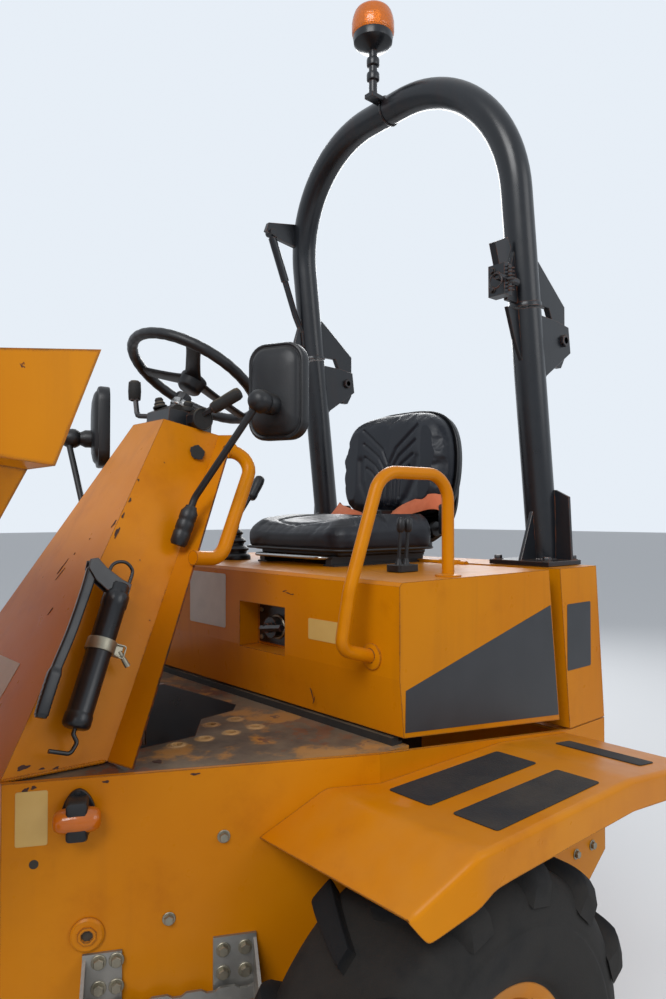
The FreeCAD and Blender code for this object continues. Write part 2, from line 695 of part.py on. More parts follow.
def make_tyre():
    """A carcass in flats about Y, with two rows of slanted lugs that meet near the middle."""
    w = S.tyre_width / 2
    top = S.tyre_radius
    crown = top - S.lug_height
    bead = S.rim_radius + 1
    half = [(bead, 102), (296, w), (372, w - 12), (crown, w - 44)]
    outline = half + [(r, -y) for r, y in reversed(half)]
    carcass = turned_flats(outline, int(S.wheel_sides))
    # Lug sections: offset from the middle, lead round the tyre, half width, top and foot radius
    sections = [(-6, 0, 15, top, crown - 12), (w - 22, 48, 23, top - 3, crown - 40)]
    bottom = -90 + math.degrees(sections[0][2] / top)
    lugs = []
    count = int(S.lug_pairs)
    for side in (-1, 1):
        rings = []
        for y, lead, width, high, foot in sections:
            ring = []
            for radius, along in ((foot, lead - width - 5), (high, lead - width),
                                  (high, lead + width), (foot, lead + width + 5)):
                angle = along / top
                ring.append(Vector(radius * math.cos(angle), side * y, radius * math.sin(angle)))
            rings.append(ring)
        lug = skinned(rings)
        for i in range(count):
            turned = lug.copy()
            turned.rotate(Vector(0, 0, 0), Y_AXIS, -bottom + 360.0 / count * (i + (0.5 if side > 0 else 0)))
            lugs.append(turned)
    return carcass.fuse(lugs).removeSplitter()


rim = make_rim()
tyre = make_tyre()
for end, axle_x in (("rear", S.rear_axle_x), ("front", S.front_axle_x)):
    for side_name, side in (("left", 1), ("right", -1)):
        for piece_name, piece in (("tyre", tyre), ("rim", rim)):
            place = Placement(Vector(axle_x, side * S.track_half, S.axle_z), Rotation())
            keep("%s_%s_%s" % (end, side_name, piece_name), piece if side > 0 else mirrored(piece), place)


# The engine as one plain block with its gearbox and sump, on the chassis rails
joined("engine_block",
       block("engine_body", ("-1560", "-1120"), ("-190", "190"), ("720", "1180")),
       block("engine_sump", ("-1520", "-1180"), ("-120", "120"), ("602", "720")),
       block("gearbox", ("-1120", "-900"), ("-130", "130"), ("640", "900")))

# Lamps on the side plates and on the rear face


def make_side_lamp():
    """An oval back plate on the left side plate with a dark hood over a double-ended lens."""
    back = [(-26, -28), (-26, 28), (-14, 46), (14, 46), (26, 28), (26, -28), (14, -46), (-14, -46)]
    plate = prism_xz(back, 0, 9)
    hood = prism_yz([(9, -36), (40, -30), (46, -18), (46, 18), (40, 30), (9, 36)], -19, 19)
    lens = turned_flats([(0, -40), (17, -40), (22, -30), (22, 30), (17, 40), (0, 40)], 8, X_AXIS)
    lens.translate(Vector(0, 30, 0))
    lamp = fused(plate, hood, lens)
    lamp.Placement = side_plate_place(-479, 911)
    return lamp


keep("side_lamps", pair(make_side_lamp()))
with_twin("rear_lamps", block("rear_lamp", ("rear_x - 32", "rear_x - 1"), ("430", "560"), ("720", "820")))


# A lever grease gun clipped on the tower's left face


def make_grease_gun():
    """Barrel, head, lever, clip, hose and hook along one line that rises with the tower."""
    low = Vector(-492, 304, 1040)
    high = Vector(-617, 243, 1292)
    along = (high - low).normalize()
    outward = Vector(0.0893, 0.9423, 0.3227)
    barrel = stub(low, high, 26, 10)
    head = stub(high - along * 10, high + along * 34, 17, 8)
    clip = stub(low + along * 150, low + along * 180, 29, 10)
    foot = clip.CenterOfMass - outward * 45
    clip_foot = stub(foot, clip.CenterOfMass, 10, 6)
    start = high + along * 12
    lever = bent_bar([tuple(start), (-575, 246, 1322), (-497, 262, 1200), (-430, 302, 1068)],
                     [14, 300], 11, 6, 2)
    return fused(barrel, head, clip, clip_foot, lever).cut(tower_shape)


keep("grease_gun", make_grease_gun())

# Foot guard: a folded dark plate beside the tower, with two pedals behind it
deck_top = S.deck_z - 6
guard_outline = [(-660, deck_top), (-775, deck_top), (-790, 1002), (-872, 1006), (-880, 1018),
                 (-700, 1092), (-660, 1092)]
guard = prism_xz(guard_outline, 236, 242)
floor_plate = box((-740, -640), (60, 242), (deck_top, deck_top + 6))
pedals = [box((-742, -676), (y, y + 56), (1018, 1026)) for y in (70, 150)]
stalks = [box((-716, -700), (y + 20, y + 32), (deck_top, 1020)) for y in (70, 150)]
keep("pedals", fused(guard, floor_plate, *stalks, *pedals).cut(tower_shape).removeSplitter())

# Rubber seal on the deck's rear edge, under the engine cover
joined("cover_seal",
       block("seal_bulb", ("cover_front_x - 26", "cover_front_x - 8"), ("-570", "570"),
             ("deck_z - 6", "cover_low_z - 6")),
       block("seal_foot", ("cover_front_x - 38", "cover_front_x - 26"), ("-570", "570"),
             ("deck_z - 6", "deck_z")))


# Engine cover: an open shell hinged at its rear top edge


def make_cover():
    """A five-sided sheet shell with a recess for the isolator in its front face and a hinge rod."""
    y = S.side_half
    fold_z = S.cover_low_z + 118
    kick_x = S.cover_front_x - 12
    profile = [(kick_x, S.cover_low_z), (S.cover_front_x, fold_z), (S.cover_front_x, S.cover_top_z - 8),
               (S.cover_front_x - 8, S.cover_top_z), (S.cover_top_rear_x, S.cover_top_z),
               (S.cover_rear_x, S.cover_foot_z)]
    outside = prism_xz(profile, -y, y)

    def is_open(face):
        normal = face.normalAt(0, 0)
        return normal.z < -0.5 or (normal.x < -0.9 and face.CenterOfMass.x < -1500)

    shell = hollowed(outside, is_open, S.sheet)
    recess = box((S.cover_front_x - 60, S.cover_front_x + 5), (27, 219), (fold_z - 4, fold_z + 112))
    pocket = box((S.cover_front_x - 64, S.cover_front_x - 2), (23, 223), (fold_z - 8, fold_z + 116))
    hinge = rod((S.cover_top_rear_x, -340, S.cover_top_z), (S.cover_top_rear_x, 340, S.cover_top_z), 9)
    return fused(shell, pocket, hinge).cut(recess)


cover_shape = make_cover()
keep("engine_cover", cover_shape)

cover_rail = bent_bar([(S.cover_front_x - 3, 520, 1145), (-945, 520, 1170), (-960, 530, 1290),
                       (-1040, 540, 1535), (-1235, 560, 1535), (-1235, 560, S.cover_top_z - 3)],
                      [30, 120, 60, 60], 14, 6, 2)
cover_block = prism_xz([(S.cover_front_x, 900), (S.cover_front_x, S.cover_top_z),
                        (S.cover_top_rear_x, S.cover_top_z), (S.cover_top_rear_x, 900)],
                       -S.side_half, S.side_half)
cover_rail = cover_rail.cut(cover_block)
keep("cover_rails", pair(cover_rail))


def make_isolator():
    """A plate on the floor of the cover's recess, with a round body and a turning key."""
    x = S.cover_front_x - 59
    low = S.cover_low_z + 122
    plate = box((x, x + 5), (40, 206), (low, low + 96))
    body = stub((x + 5, 120, low + 46), (x + 30, 120, low + 46), 27, 12)
    key = stub((x + 38, 96, low + 42), (x + 44, 188, low + 54), 9, 6)
    neck = stub((x + 28, 120, low + 46), (x + 44, 122, low + 46), 13, 8)
    return fused(plate, body, neck, key)


keep("isolator_switch", make_isolator())


# Seat on the engine cover


def pillow(sections, half_y, tilt=0, place=(0, 0, 0)):
    """A cushion of rounded outlines: sections are (height, inset, half length), about its own middle."""
    rings = [[Vector(x, y, height) for x, y in rounded_outline(half_x - inset, half_y - inset, 58 - inset)]
             for height, inset, half_x in sections]
    shape = skinned(rings)
    shape.Placement = Placement(Vector(*place), Rotation(Y_AXIS, tilt))
    return shape


top = S.cover_top_z
pan = box((S.seat_back_x - 5, S.seat_front_x - 12), (-200, 200), (top + 26, top + 50))
runners = [box((S.seat_back_x + 20, S.seat_front_x - 30), (y - 18, y + 18), (top, top + 28))
           for y in (-150, 150)]
back_x = S.seat_back_x - 2
back_shell = prism_xz([(back_x, top + 50), (back_x - 28, top + 50), (back_x - 93, top + 96),
                       (back_x - 125, top + 180), (back_x - 128, top + 400), (back_x - 110, top + 400),
                       (back_x - 83, top + 126), (back_x, top + 126)], -186, 186)
tray = box((back_x - 28, S.seat_front_x - 6), (-S.seat_half + 14, S.seat_half - 14),
           (top + 48, top + 60))
keep("seat_frame", fused(pan, *runners, back_shell, tray).cut(cover_shape))
seat_length = (S.seat_front_x - S.seat_back_x) / 2
keep("seat_cushion", pillow([(0, 14, seat_length), (18, 0, seat_length), (56, 2, seat_length),
                             (76, 26, seat_length)], S.seat_half, 0,
                            (S.seat_back_x + seat_length, 0, top + 61)))
keep("seat_back", pillow([(0, 20, 166), (20, 0, 166), (52, 4, 166), (76, 30, 166)], 222, 84.8,
                         (S.seat_back_x - 88, 0, top + 296)))
with_twin("lap_belt", block("belt_half", ("-1562", "-1514"), ("18", "214"), ("cover_top_z + 138",
                                                                          "cover_top_z + 142")))


def make_cover_levers():
    """The hand lever with its ringed boot on the right, and two thin control levers on the left."""
    boot_outline = [(0, 0)]
    for i in range(3):
        boot_outline += [(48 - 9 * i, 2 + 34 * i), (36 - 8 * i, 32 + 34 * i)]
    boot = turned_flats(boot_outline + [(0, 104)], 8, Z_AXIS)
    boot.translate(Vector(-1233, -290, top + 1))
    lever = bent_bar([(-1233, -290, top + 60), (-1240, -290, top + 130), (-1318, -290, top + 240)],
                     [80], 10, 6, 2)
    grip = stub((-1290, -290, top + 188), (-1332, -290, top + 262), 17, 8)
    thin = [stub((x, 402, top + 12), (x - 8, 402, top + 120), 5, 6) for x in (-1240, -1266)]
    knobs = [stub((x - 7, 402, top + 96), (x - 10, 402, top + 132), 10, 6) for x in (-1240, -1266)]
    base = box((-1290, -1218), (378, 426), (top + 1, top + 18))
    left = fused(base, *thin, *knobs)
    return Part.makeCompound([fused(boot, lever, grip), left])


keep("cover_levers", make_cover_levers())


# Roll-over hoop: two fixed uprights and a folding hoop


def rops_x(z):
    """Station of the leaning hoop's centre line at a height."""
    return S.rops_base_x + (z - S.cover_top_z) * math.tan(math.radians(S.rops_lean))


def make_upright():
    """The fixed lower upright on the left, with base plate, gussets and fold lugs."""
    y = S.rops_half
    low = S.cover_top_z + 3
    post = bent_bar([(rops_x(low), y, low), (rops_x(S.rops_gap_z - 3), y, S.rops_gap_z - 3)], [],
                    S.rops_radius, 12)
    plate = box((S.housing_top_x + 2, -1650), (y - 95, y + 95), (S.cover_top_z + 1, S.cover_top_z + 14))
    side_gusset = prism_yz([(y + 30, low), (y + 92, low), (y + 84, low + 185), (y + 44, low + 205),
                            (y + 30, low + 205)], rops_x(low) - 4, rops_x(low) + 6)
    front_gusset = prism_xz([(rops_x(low) + 30, low), (-1656, low), (rops_x(low + 170) + 30, low + 170)],
                            y - 5, y + 5)
    z = S.fold_z
    lug = [(rops_x(z - 150), z - 150), (rops_x(z - 110) - 40, z - 110), (S.fold_x - 40, z - 30),
           (S.fold_x - 30, z + 44), (S.fold_x + 30, z + 52), (rops_x(z + 56), z + 56)]
    lugs = [prism_xz(lug, y + offset, y + offset + 8) for offset in (22, -30)]
    latch_plate = prism_xz([(rops_x(z - 150), z - 158), (rops_x(z - 60) + 70, z - 30),
                            (rops_x(z + 60) + 92, z + 62), (rops_x(z + 70), z + 62)], y - 6, y + 6)
    pin = stub((S.fold_x, y - 40, z), (S.fold_x, y + 40, z), 10, 10)
    upright = fused(post, plate, side_gusset, front_gusset, latch_plate, pin, *lugs)
    return upright.cut(box((-2000, -1500), (y - 100, y + 100), (low - 80, S.cover_top_z + 0.5)))


keep("rops_base", pair(make_upright()))


def make_hoop():
    """The folding hoop with an eye plate behind each leg and a latch gusset before it."""
    y = S.rops_half
    low = S.rops_gap_z + 3
    high = S.rops_top_z
    tube = bent_bar([(rops_x(low), y, low), (rops_x(high), y, high), (rops_x(high), -y, high),
                     (rops_x(low), -y, low)], [S.rops_bend, S.rops_bend], S.rops_radius, 12, 4)
    z = S.fold_z
    arm = [(rops_x(z + 245), z + 250), (rops_x(z + 220) - 62, z + 222), (S.fold_x - 44, z + 110),
           (S.fold_x - 44, z - 40), (S.fold_x - 24, z - 72), (S.fold_x, z - 72), (S.fold_x + 20, z - 24),
           (S.fold_x + 24, z + 60), (S.fold_x + 40, z + 92), (rops_x(z + 92), z + 92)]
    plates = []
    for side in (-1, 1):
        plate = prism_xz(arm, side * y - 9, side * y + 9)
        plates.append(plate.cut(rod((S.fold_x, side * y - 20, z), (S.fold_x, side * y + 20, z), 10.3)))
        plates.append(prism_xz([(rops_x(low + 6), low + 5), (rops_x(low + 6) + 92, low + 5),
                                (rops_x(low + 40) + 88, low + 44), (rops_x(low + 150) + 40, low + 150),
                                (rops_x(low + 150), low + 170)], side * y - 6, side * y + 6))
    return fused(tube, *plates)


keep("rops_hoop", make_hoop())


def make_latches():
    """The left leg's latch block, and the right leg's bracket, strut and link."""
    y = S.rops_half
    z = S.rops_gap_z
    x = rops_x(z + 60) + 92
    block_body = box((x, x + 34), (y - 26, y + 26), (z + 12, z + 96))
    bar = stub((x - 30, y + 20, z + 56), (x + 60, y + 20, z + 56), 11, 8)
    hook = prism_xz([(x + 6, z + 96), (x + 34, z + 96), (x + 52, z + 150), (x - 4, z + 176),
                     (x - 20, z + 150)], y - 10, y + 10)
    left = fused(block_body, bar, hook)
    top_x = rops_x(2470) + S.rops_radius
    bracket = prism_xz([(top_x - 30, 2508), (top_x + 112, 2480), (top_x + 124, 2448),
                        (top_x + 60, 2430), (top_x - 30, 2418)], -y - 8, -y + 8)
    strut = bent_bar([(top_x + 100, -y, 2452), (top_x - 14, -y, 2170), (top_x - 52, -y, 2100)], [80], 11, 6, 1)
    foot = prism_xz([(rops_x(2060), 2050), (top_x - 40, 2062), (top_x - 34, 2112), (top_x - 66, 2118),
                     (rops_x(2130), 2140)], -y - 11, -y + 11)
    right = fused(bracket, strut, foot)
    return Part.makeCompound([left.cut(hoop_shape), right.cut(hoop_shape)])


hoop_shape = sub_parts["rops_hoop"].Shape
keep("hoop_latches", make_latches())


def make_beacon():
    """An amber dome over a dark bowl on a ringed stem, clamped to the front of the hoop's top."""
    y = 18
    foot = S.rops_top_z
    x = rops_x(foot) + S.rops_radius
    outline = [(0, 4), (13, 4), (13, 46), (20, 52), (20, 70), (13, 76), (13, 92), (20, 98), (20, 116),
               (13, 122), (13, 144), (60, 166), (66, 226), (56, 262), (28, 280), (0, 284)]
    lantern = turned_flats(outline, 10, Z_AXIS)
    lantern.translate(Vector(x + 28, y, foot + 19))
    bracket = fused(box((x - 8, x + 48), (y - 17, y + 17), (foot - 8, foot + 25)),
                    box((x - 6, x + 6), (y - 17, y + 17), (foot - 36, foot + 6)))
    return fused(bracket, lantern).cut(hoop_shape)


keep("beacon", make_beacon())


def make_steering_wheel():
    """A thick rim on three spokes about the leaning column."""
    count = 6
    section = [(S.wheel_radius + 14 * math.cos(2 * math.pi * i / count),
                14 * math.sin(2 * math.pi * i / count)) for i in range(count)]
    rim_ring = turned_flats(section, 20, Z_AXIS)
    hub = stub((0, 0, -36), (0, 0, 2), 35, 8)
    nut = Part.makeCylinder(12, 8, Vector(0, 0, 0), Z_AXIS)
    spokes = []
    for angle in (90, 210, 330):
        reach = S.wheel_radius - 6
        spoke = prism_xy([(20, -20), (reach, -13), (reach, 13), (20, 20)], -12, -2)
        spoke.rotate(Vector(0, 0, 0), Z_AXIS, angle + 90)
        spokes.append(spoke)
    return fused(rim_ring, hub, nut, *spokes)


wheel_lean = math.radians(S.wheel_tilt)
wheel_rise = 21
keep("steering_wheel", make_steering_wheel(),
     Placement(Vector(S.wheel_hub_x - wheel_rise * math.sin(wheel_lean), 0,
                      S.wheel_hub_z + wheel_rise * math.cos(wheel_lean)), Rotation(Y_AXIS, -S.wheel_tilt)))


# Front frame: boss on the articulation pin, box body and slewing ring


def disc(x, z, height, radius, sides=16):
    """A many-sided upright disc on the machine's middle plane."""
    return stub((x, 0, z), (x, 0, z + height), radius, sides)


def make_front_frame():
    """A box frame over the front axle, with the boss and steering arm behind."""
    boss = disc(S.pivot_x, 445, 200, 68, 12)
    neck = box((S.pivot_x + 20, 30), (-60, 60), (450, 640))
    body = prism_xz([(10, 470), (10, 650), (150, 695), (1230, 695), (1300, 640), (1300, 520),
                     (1150, 500), (600, 500)], -200, 200)
    inner = prism_xz([(24, 500), (24, 640), (154, 683), (1220, 683), (1288, 634), (1288, 490),
                      (600, 480)], -188, 188)
    body = body.cut(inner)
    webs = [box((x, x + 12), (-190, 190), (505, 690)) for x in (400, 950)]
    pads = [box((S.front_axle_x - 90, S.front_axle_x + 90), (y, y + 60), (484, 520))
            for y in (-195, 135)]
    frame = fused(boss, neck, body, disc(S.swivel_x, 695, 10, 290), disc(S.swivel_x, 705, 17, 250),
                  *webs, *pads)
    frame = frame.cut(Part.makeCylinder(41, 60, Vector(S.swivel_x, 0, 670), Z_AXIS))
    frame = frame.cut(Part.makeCylinder(25.4, 240, Vector(S.pivot_x, 0, 430), Z_AXIS))
    arms = []
    for z in (S.steer_z - 43, S.steer_z + 33):
        plan = [(12, 30), (12, 190), (S.steer_eye_x - 4, S.steer_eye_y + 32),
                (S.steer_eye_x - 32, S.steer_eye_y + 14), (S.steer_eye_x - 32, S.steer_eye_y - 14),
                (S.steer_eye_x, S.steer_eye_y - 32)]
        arms.append(prism_xy(plan, z, z + 10))
    caps = [stub((S.steer_eye_x, S.steer_eye_y, z), (S.steer_eye_x, S.steer_eye_y, z + 9), 14, 8)
            for z in (S.steer_z - 51, S.steer_z + 42)]
    return fused(frame, *arms, *caps)


keep("front_frame", make_front_frame())


def make_carrier():
    """The turntable with two arms that carry the tipping pin and the ram's foot."""
    base = disc(S.swivel_x, 724, 20, 280)
    spigot = disc(S.swivel_x, 690, 44, 40, 12)
    beam = [(420, 744), (430, 900), (1100, 920), (1222, 924), (1222, 800), (1200, 716), (940, 716),
            (930, 735), (700, 735)]
    horn = [(1180, 868), (1180, 924), (S.tip_x - 30, S.tip_z + 36), (S.tip_x + 14, S.tip_z + 36),
            (S.tip_x + 36, S.tip_z + 14), (S.tip_x + 36, S.tip_z - 14), (S.tip_x + 14, S.tip_z - 36),
            (S.tip_x - 14, S.tip_z - 36)]
    arms = [prism_xz(side_view, y, y + 20) for side_view in (beam, horn) for y in (-222, 202)]
    pin = stub((S.tip_x, -280, S.tip_z), (S.tip_x, 280, S.tip_z), 20, 10)
    cross = box((1266, 1300), (-215, 215), (878, 920))
    rear_cross = box((425, 445), (-215, 215), (744, 844))
    foot_ears = [box((S.ram_foot_x - 45, S.ram_foot_x + 25), (y, y + 12), (716, S.ram_foot_z + 36))
                 for y in (-57, 45)]
    foot_plate = box((938, S.ram_foot_x + 25), (-215, 215), (714, 728))
    foot_pin = stub((S.ram_foot_x, -62, S.ram_foot_z), (S.ram_foot_x, 62, S.ram_foot_z), 15, 10)
    return fused(base, spigot, cross, rear_cross, foot_plate, pin, foot_pin, *arms, *foot_ears)


keep("skip_carrier", make_carrier())


# Skip: a tapered open body with flared ears along its rear corners


def skip_side_y(z):
    """Half width of the skip's main side plane at a height."""
    return S.skip_floor_half + (z - S.skip_floor_z) * math.tan(math.radians(S.skip_side_lean))


def skip_rear_x(z):
    """Station of the skip's leaning rear plane at a height."""
    return S.skip_rear_x + (S.skip_rim_z - z) * math.tan(math.radians(S.skip_rear_lean))


def make_skip():
    """The skip from its left corner points, hollowed from above, with ribs and tipping ears."""
    floor = S.skip_floor_z
    ear_z = S.skip_ear_z

    def rim_z(x):
        """Height of the rim's falling side edge at a station."""
        share = (x - S.skip_rear_x) / (S.lip_x - S.skip_rear_x)
        return S.skip_rim_z + share * (S.lip_z - S.skip_rim_z)

    left = {
        "rim_rear": (S.skip_rear_x, S.skip_ear_half, S.skip_rim_z),
        "ear_foot": (skip_rear_x(ear_z), S.skip_ear_half - 7, ear_z),
        "fold_foot": (skip_rear_x(ear_z), skip_side_y(ear_z), ear_z),
        "ear_tip": (S.ear_tip_x, skip_side_y(rim_z(S.ear_tip_x)), rim_z(S.ear_tip_x)),
        "lip": (S.lip_x, skip_side_y(S.lip_z), S.lip_z),
        "floor_front": (S.floor_front_x, skip_side_y(floor), floor),
        "floor_rear": (skip_rear_x(floor), skip_side_y(floor), floor),
    }
    right = {name: (x, -y, z) for name, (x, y, z) in left.items()}
    rear = ("rim_rear", "ear_foot", "fold_foot", "floor_rear")
    faces = [[left[n] for n in rear] + [right[n] for n in reversed(rear)],
             [left["floor_rear"], left["floor_front"], right["floor_front"], right["floor_rear"]],
             [left["floor_front"], left["lip"], right["lip"], right["floor_front"]],
             [left["ear_tip"], left["lip"], right["lip"], right["ear_tip"]],
             [left["rim_rear"], left["ear_tip"], right["ear_tip"], right["rim_rear"]]]
    for side in (left, right):
        faces.append([side["rim_rear"], side["ear_foot"], side["ear_tip"]])
        faces.append([side["ear_foot"], side["fold_foot"], side["ear_tip"]])
        faces.append([side[n] for n in ("fold_foot", "floor_rear", "floor_front", "lip", "ear_tip")])
    block = solid_of(faces)
    wall = S.skip_wall
    folds = [(side["fold_foot"], side["ear_tip"]) for side in (left, right)]
    shell = panelled(block, lambda f: f.normalAt(0, 0).z > 0.7, wall, folds)
    ears = []
    for y in (-262, 244):
        ears.append(prism_xz([(S.tip_x + 34, S.tip_z - 12), (S.tip_x + 36, S.tip_z + 140),
                              (S.tip_x - 160, floor + 60), (S.tip_x - 200, floor + 2),
                              (S.tip_x - 34, S.tip_z - 12), (S.tip_x, S.tip_z - 40)], y, y + 18))
    ear_set = Part.makeCompound(ears).cut(block)
    ear_set = ear_set.cut(rod((S.tip_x, -300, S.tip_z), (S.tip_x, 300, S.tip_z), 20.4))
    ribs = [box((40, 1290), (y, y + 50), (floor - 32, floor + 4)) for y in (-180, 130)]
    eye_ears = [prism_xz([(S.ram_eye_x - 50, floor + 4), (S.ram_eye_x - 24, S.ram_eye_z - 26),
                          (S.ram_eye_x + 24, S.ram_eye_z - 26), (S.ram_eye_x + 50, floor + 4)],
                         y, y + 10) for y in (-44, 34)]
    caps = [stub((S.ram_eye_x, y, S.ram_eye_z), (S.ram_eye_x, y + 10, S.ram_eye_z), 20, 8)
            for y in (-52, 42)]
    return fused(shell, *ribs, *eye_ears, *caps, *ear_set.Solids)


keep("skip", make_skip())


# Rams: a barrel on its foot pin and a rod that ends at the eye on the moved piece


def make_ram(foot, eye, pin_axis, barrel_length, barrel_radius, rod_radius, eye_width, foot_bore, stroke_in):
    """Barrel and rod along the line from foot to eye, with room behind the rod for its stroke inward."""
    start = Vector(*foot)
    end = Vector(*eye)
    along = (end - start).normalize()
    half = Vector(*pin_axis) * (eye_width / 2)
    foot_eye = stub(start - half, start + half, barrel_radius * 0.95, 8)
    neck = stub(start, start + along * 60, barrel_radius * 0.7, 6)
    tube = stub(start + along * 45, start + along * barrel_length, barrel_radius, 10)
    gland = stub(start + along * (barrel_length - 24), start + along * (barrel_length - 2),
                 barrel_radius * 1.12, 10)
    barrel = fused(foot_eye, neck, tube, gland)
    bore_end = start + along * (barrel_length + 60)
    barrel = barrel.cut(stub(start + along * 60, bore_end, rod_radius + 1.5, 10))
    barrel = barrel.cut(rod(tuple(start - half * 1.2), tuple(start + half * 1.2), foot_bore))
    shank = stub(start + along * (70 + stroke_in), end, rod_radius, 10)
    return barrel, fused(shank, stub(end - half, end + half, rod_radius * 1.75))


ram_foot = (S.ram_foot_x, 0, S.ram_foot_z)
ram_eye = (S.ram_eye_x, 0, S.ram_eye_z)
tip_barrel, tip_rod = make_ram(ram_foot, ram_eye, (0, 1, 0), 740, 42, 22, 64, 15.4, 10)
keep("tip_ram_barrel", tip_barrel)
keep("tip_ram_rod", tip_rod)
steer_foot = (S.steer_foot_x, S.steer_foot_y, S.steer_z)
steer_eye = (S.steer_eye_x, S.steer_eye_y, S.steer_z)
steer_barrel, steer_rod = make_ram(steer_foot, steer_eye, (0, 0, 1), 290, 28, 14, 50, 12.4, 70)
keep("steer_ram_barrel", steer_barrel)
keep("steer_ram_rod", steer_rod)


# Check every object, then write one file per sub-part

doc.recompute()
for item in doc.Objects:
    if {"Invalid", "Error"} & set(item.State):
        raise RuntimeError("%s failed: %s" % (item.Label, item.State))
for label, item in sub_parts.items():
    if item.Shape.isNull() or not item.Shape.isValid():
        raise RuntimeError("%s has no valid shape" % label)

os.makedirs("parts", exist_ok=True)
for label, item in sub_parts.items():
    item.Shape.exportStep(os.path.join("parts", label + ".step"))
    limits = item.Shape.BoundBox
    print("%-18s solids %2d volume %8.4f m3  x %6.0f %6.0f  y %6.0f %6.0f  z %6.0f %6.0f"
          % (label, len(item.Shape.Solids), item.Shape.Volume / 1e9, limits.XMin, limits.XMax,
             limits.YMin, limits.YMax, limits.ZMin, limits.ZMax))
print("%d sub-parts" % len(sub_parts))
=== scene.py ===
# %% [markdown]
# # Dressing an articulated site dumper
#
# The solids of the machine come ready made, at their real size, as a fixed frame. This lesson
# gives every one of them a finish, and adds the soft, small and finely shaped pieces that a solid
# modeller leaves out. Everything is in metres, +X forward, +Y to the machine's left, +Z up.

# %% Load the frame
import json
import math

import bmesh
import bpy
import numpy as np
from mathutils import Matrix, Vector


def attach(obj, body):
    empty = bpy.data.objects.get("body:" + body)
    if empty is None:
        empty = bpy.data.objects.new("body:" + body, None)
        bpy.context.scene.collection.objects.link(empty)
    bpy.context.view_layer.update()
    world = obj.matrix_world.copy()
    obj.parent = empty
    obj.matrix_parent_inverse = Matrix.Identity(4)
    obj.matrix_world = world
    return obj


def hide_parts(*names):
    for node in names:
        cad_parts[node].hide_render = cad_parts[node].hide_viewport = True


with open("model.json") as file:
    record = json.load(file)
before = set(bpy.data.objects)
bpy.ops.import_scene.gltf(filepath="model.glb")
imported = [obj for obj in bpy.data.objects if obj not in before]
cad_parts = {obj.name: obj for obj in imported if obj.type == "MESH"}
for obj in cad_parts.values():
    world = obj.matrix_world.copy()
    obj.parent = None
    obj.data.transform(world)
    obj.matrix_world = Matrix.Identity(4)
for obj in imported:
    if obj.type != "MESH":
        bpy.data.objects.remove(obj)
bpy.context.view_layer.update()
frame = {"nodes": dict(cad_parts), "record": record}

nodes = frame["nodes"]

# %% [markdown]
# ## Camera, floor and light
#
# The camera stands at the machine's left, close to it and at chest height, and looks to the rear.
# Its place comes from the machine's own straight edges. The floor and the backdrop are one pale
# colour, and three large lamps with a soft world light the paint at about the level at which a
# colour looks as it is written.

# %% Camera
CAMERA_PLACE = Vector((0.055, 1.63, 1.444))
CAMERA_LOOK = Vector((-0.662, -0.75, 0.0211))
FOCAL_PIXELS = 734
FRAME_HEIGHT = 999
SENSOR = 36

camera_data = bpy.data.cameras.new("camera")
camera_data.sensor_width = SENSOR
camera_data.lens = FOCAL_PIXELS / FRAME_HEIGHT * SENSOR
camera_data.clip_start = 0.02
camera = bpy.data.objects.new("camera", camera_data)
camera.location = CAMERA_PLACE
camera.rotation_mode = "QUATERNION"
camera.rotation_quaternion = CAMERA_LOOK.to_track_quat("-Z", "Y")
bpy.context.scene.collection.objects.link(camera)
bpy.context.scene.camera = camera
bpy.context.scene.view_settings.view_transform = "Standard"
print("camera lens %.1f mm" % camera_data.lens)


# %% A node and a mesh
def put(tree, kind, links=None, **settings):
    """A node with its settings, each input either linked from a socket or set to a value."""
    item = tree.nodes.new("ShaderNode" + kind)
    for key, value in settings.items():
        setattr(item, key, value)
    for key, value in (links or {}).items():
        if isinstance(value, bpy.types.NodeSocket):
            tree.links.new(value, item.inputs[key])
        else:
            item.inputs[key].default_value = value
    return item


def mesh_object(name, points, faces, material=None, smooth=True):
    """A mesh object at the origin from an (n, 3) array of points and lists of corner numbers."""
    mesh = bpy.data.meshes.new(name)
    mesh.from_pydata(np.asarray(points, float).tolist(), [], [list(map(int, f)) for f in faces])
    mesh.update()
    mesh.polygons.foreach_set("use_smooth", [smooth] * len(mesh.polygons))
    item = bpy.data.objects.new(name, mesh)
    bpy.context.scene.collection.objects.link(item)
    if material is not None:
        mesh.materials.append(material)
    return item


# %% Floor and world
FLOOR_HALF = 60
floor_corners = [(-FLOOR_HALF, -FLOOR_HALF, 0), (FLOOR_HALF, -FLOOR_HALF, 0),
                 (FLOOR_HALF, FLOOR_HALF, 0), (-FLOOR_HALF, FLOOR_HALF, 0)]
floor_paint = bpy.data.materials.new("floor")
floor_paint.use_nodes = True
floor_inputs = floor_paint.node_tree.nodes["Principled BSDF"].inputs
floor_inputs["Base Color"].default_value = (0.72, 0.73, 0.74, 1)
floor_inputs["Roughness"].default_value = 0.9
floor = mesh_object("floor", floor_corners, [(0, 1, 2, 3)], floor_paint, smooth=False)

world = bpy.data.worlds.new("world")
bpy.context.scene.world = world
world.use_nodes = True
tree = world.node_tree
tree.nodes.clear()
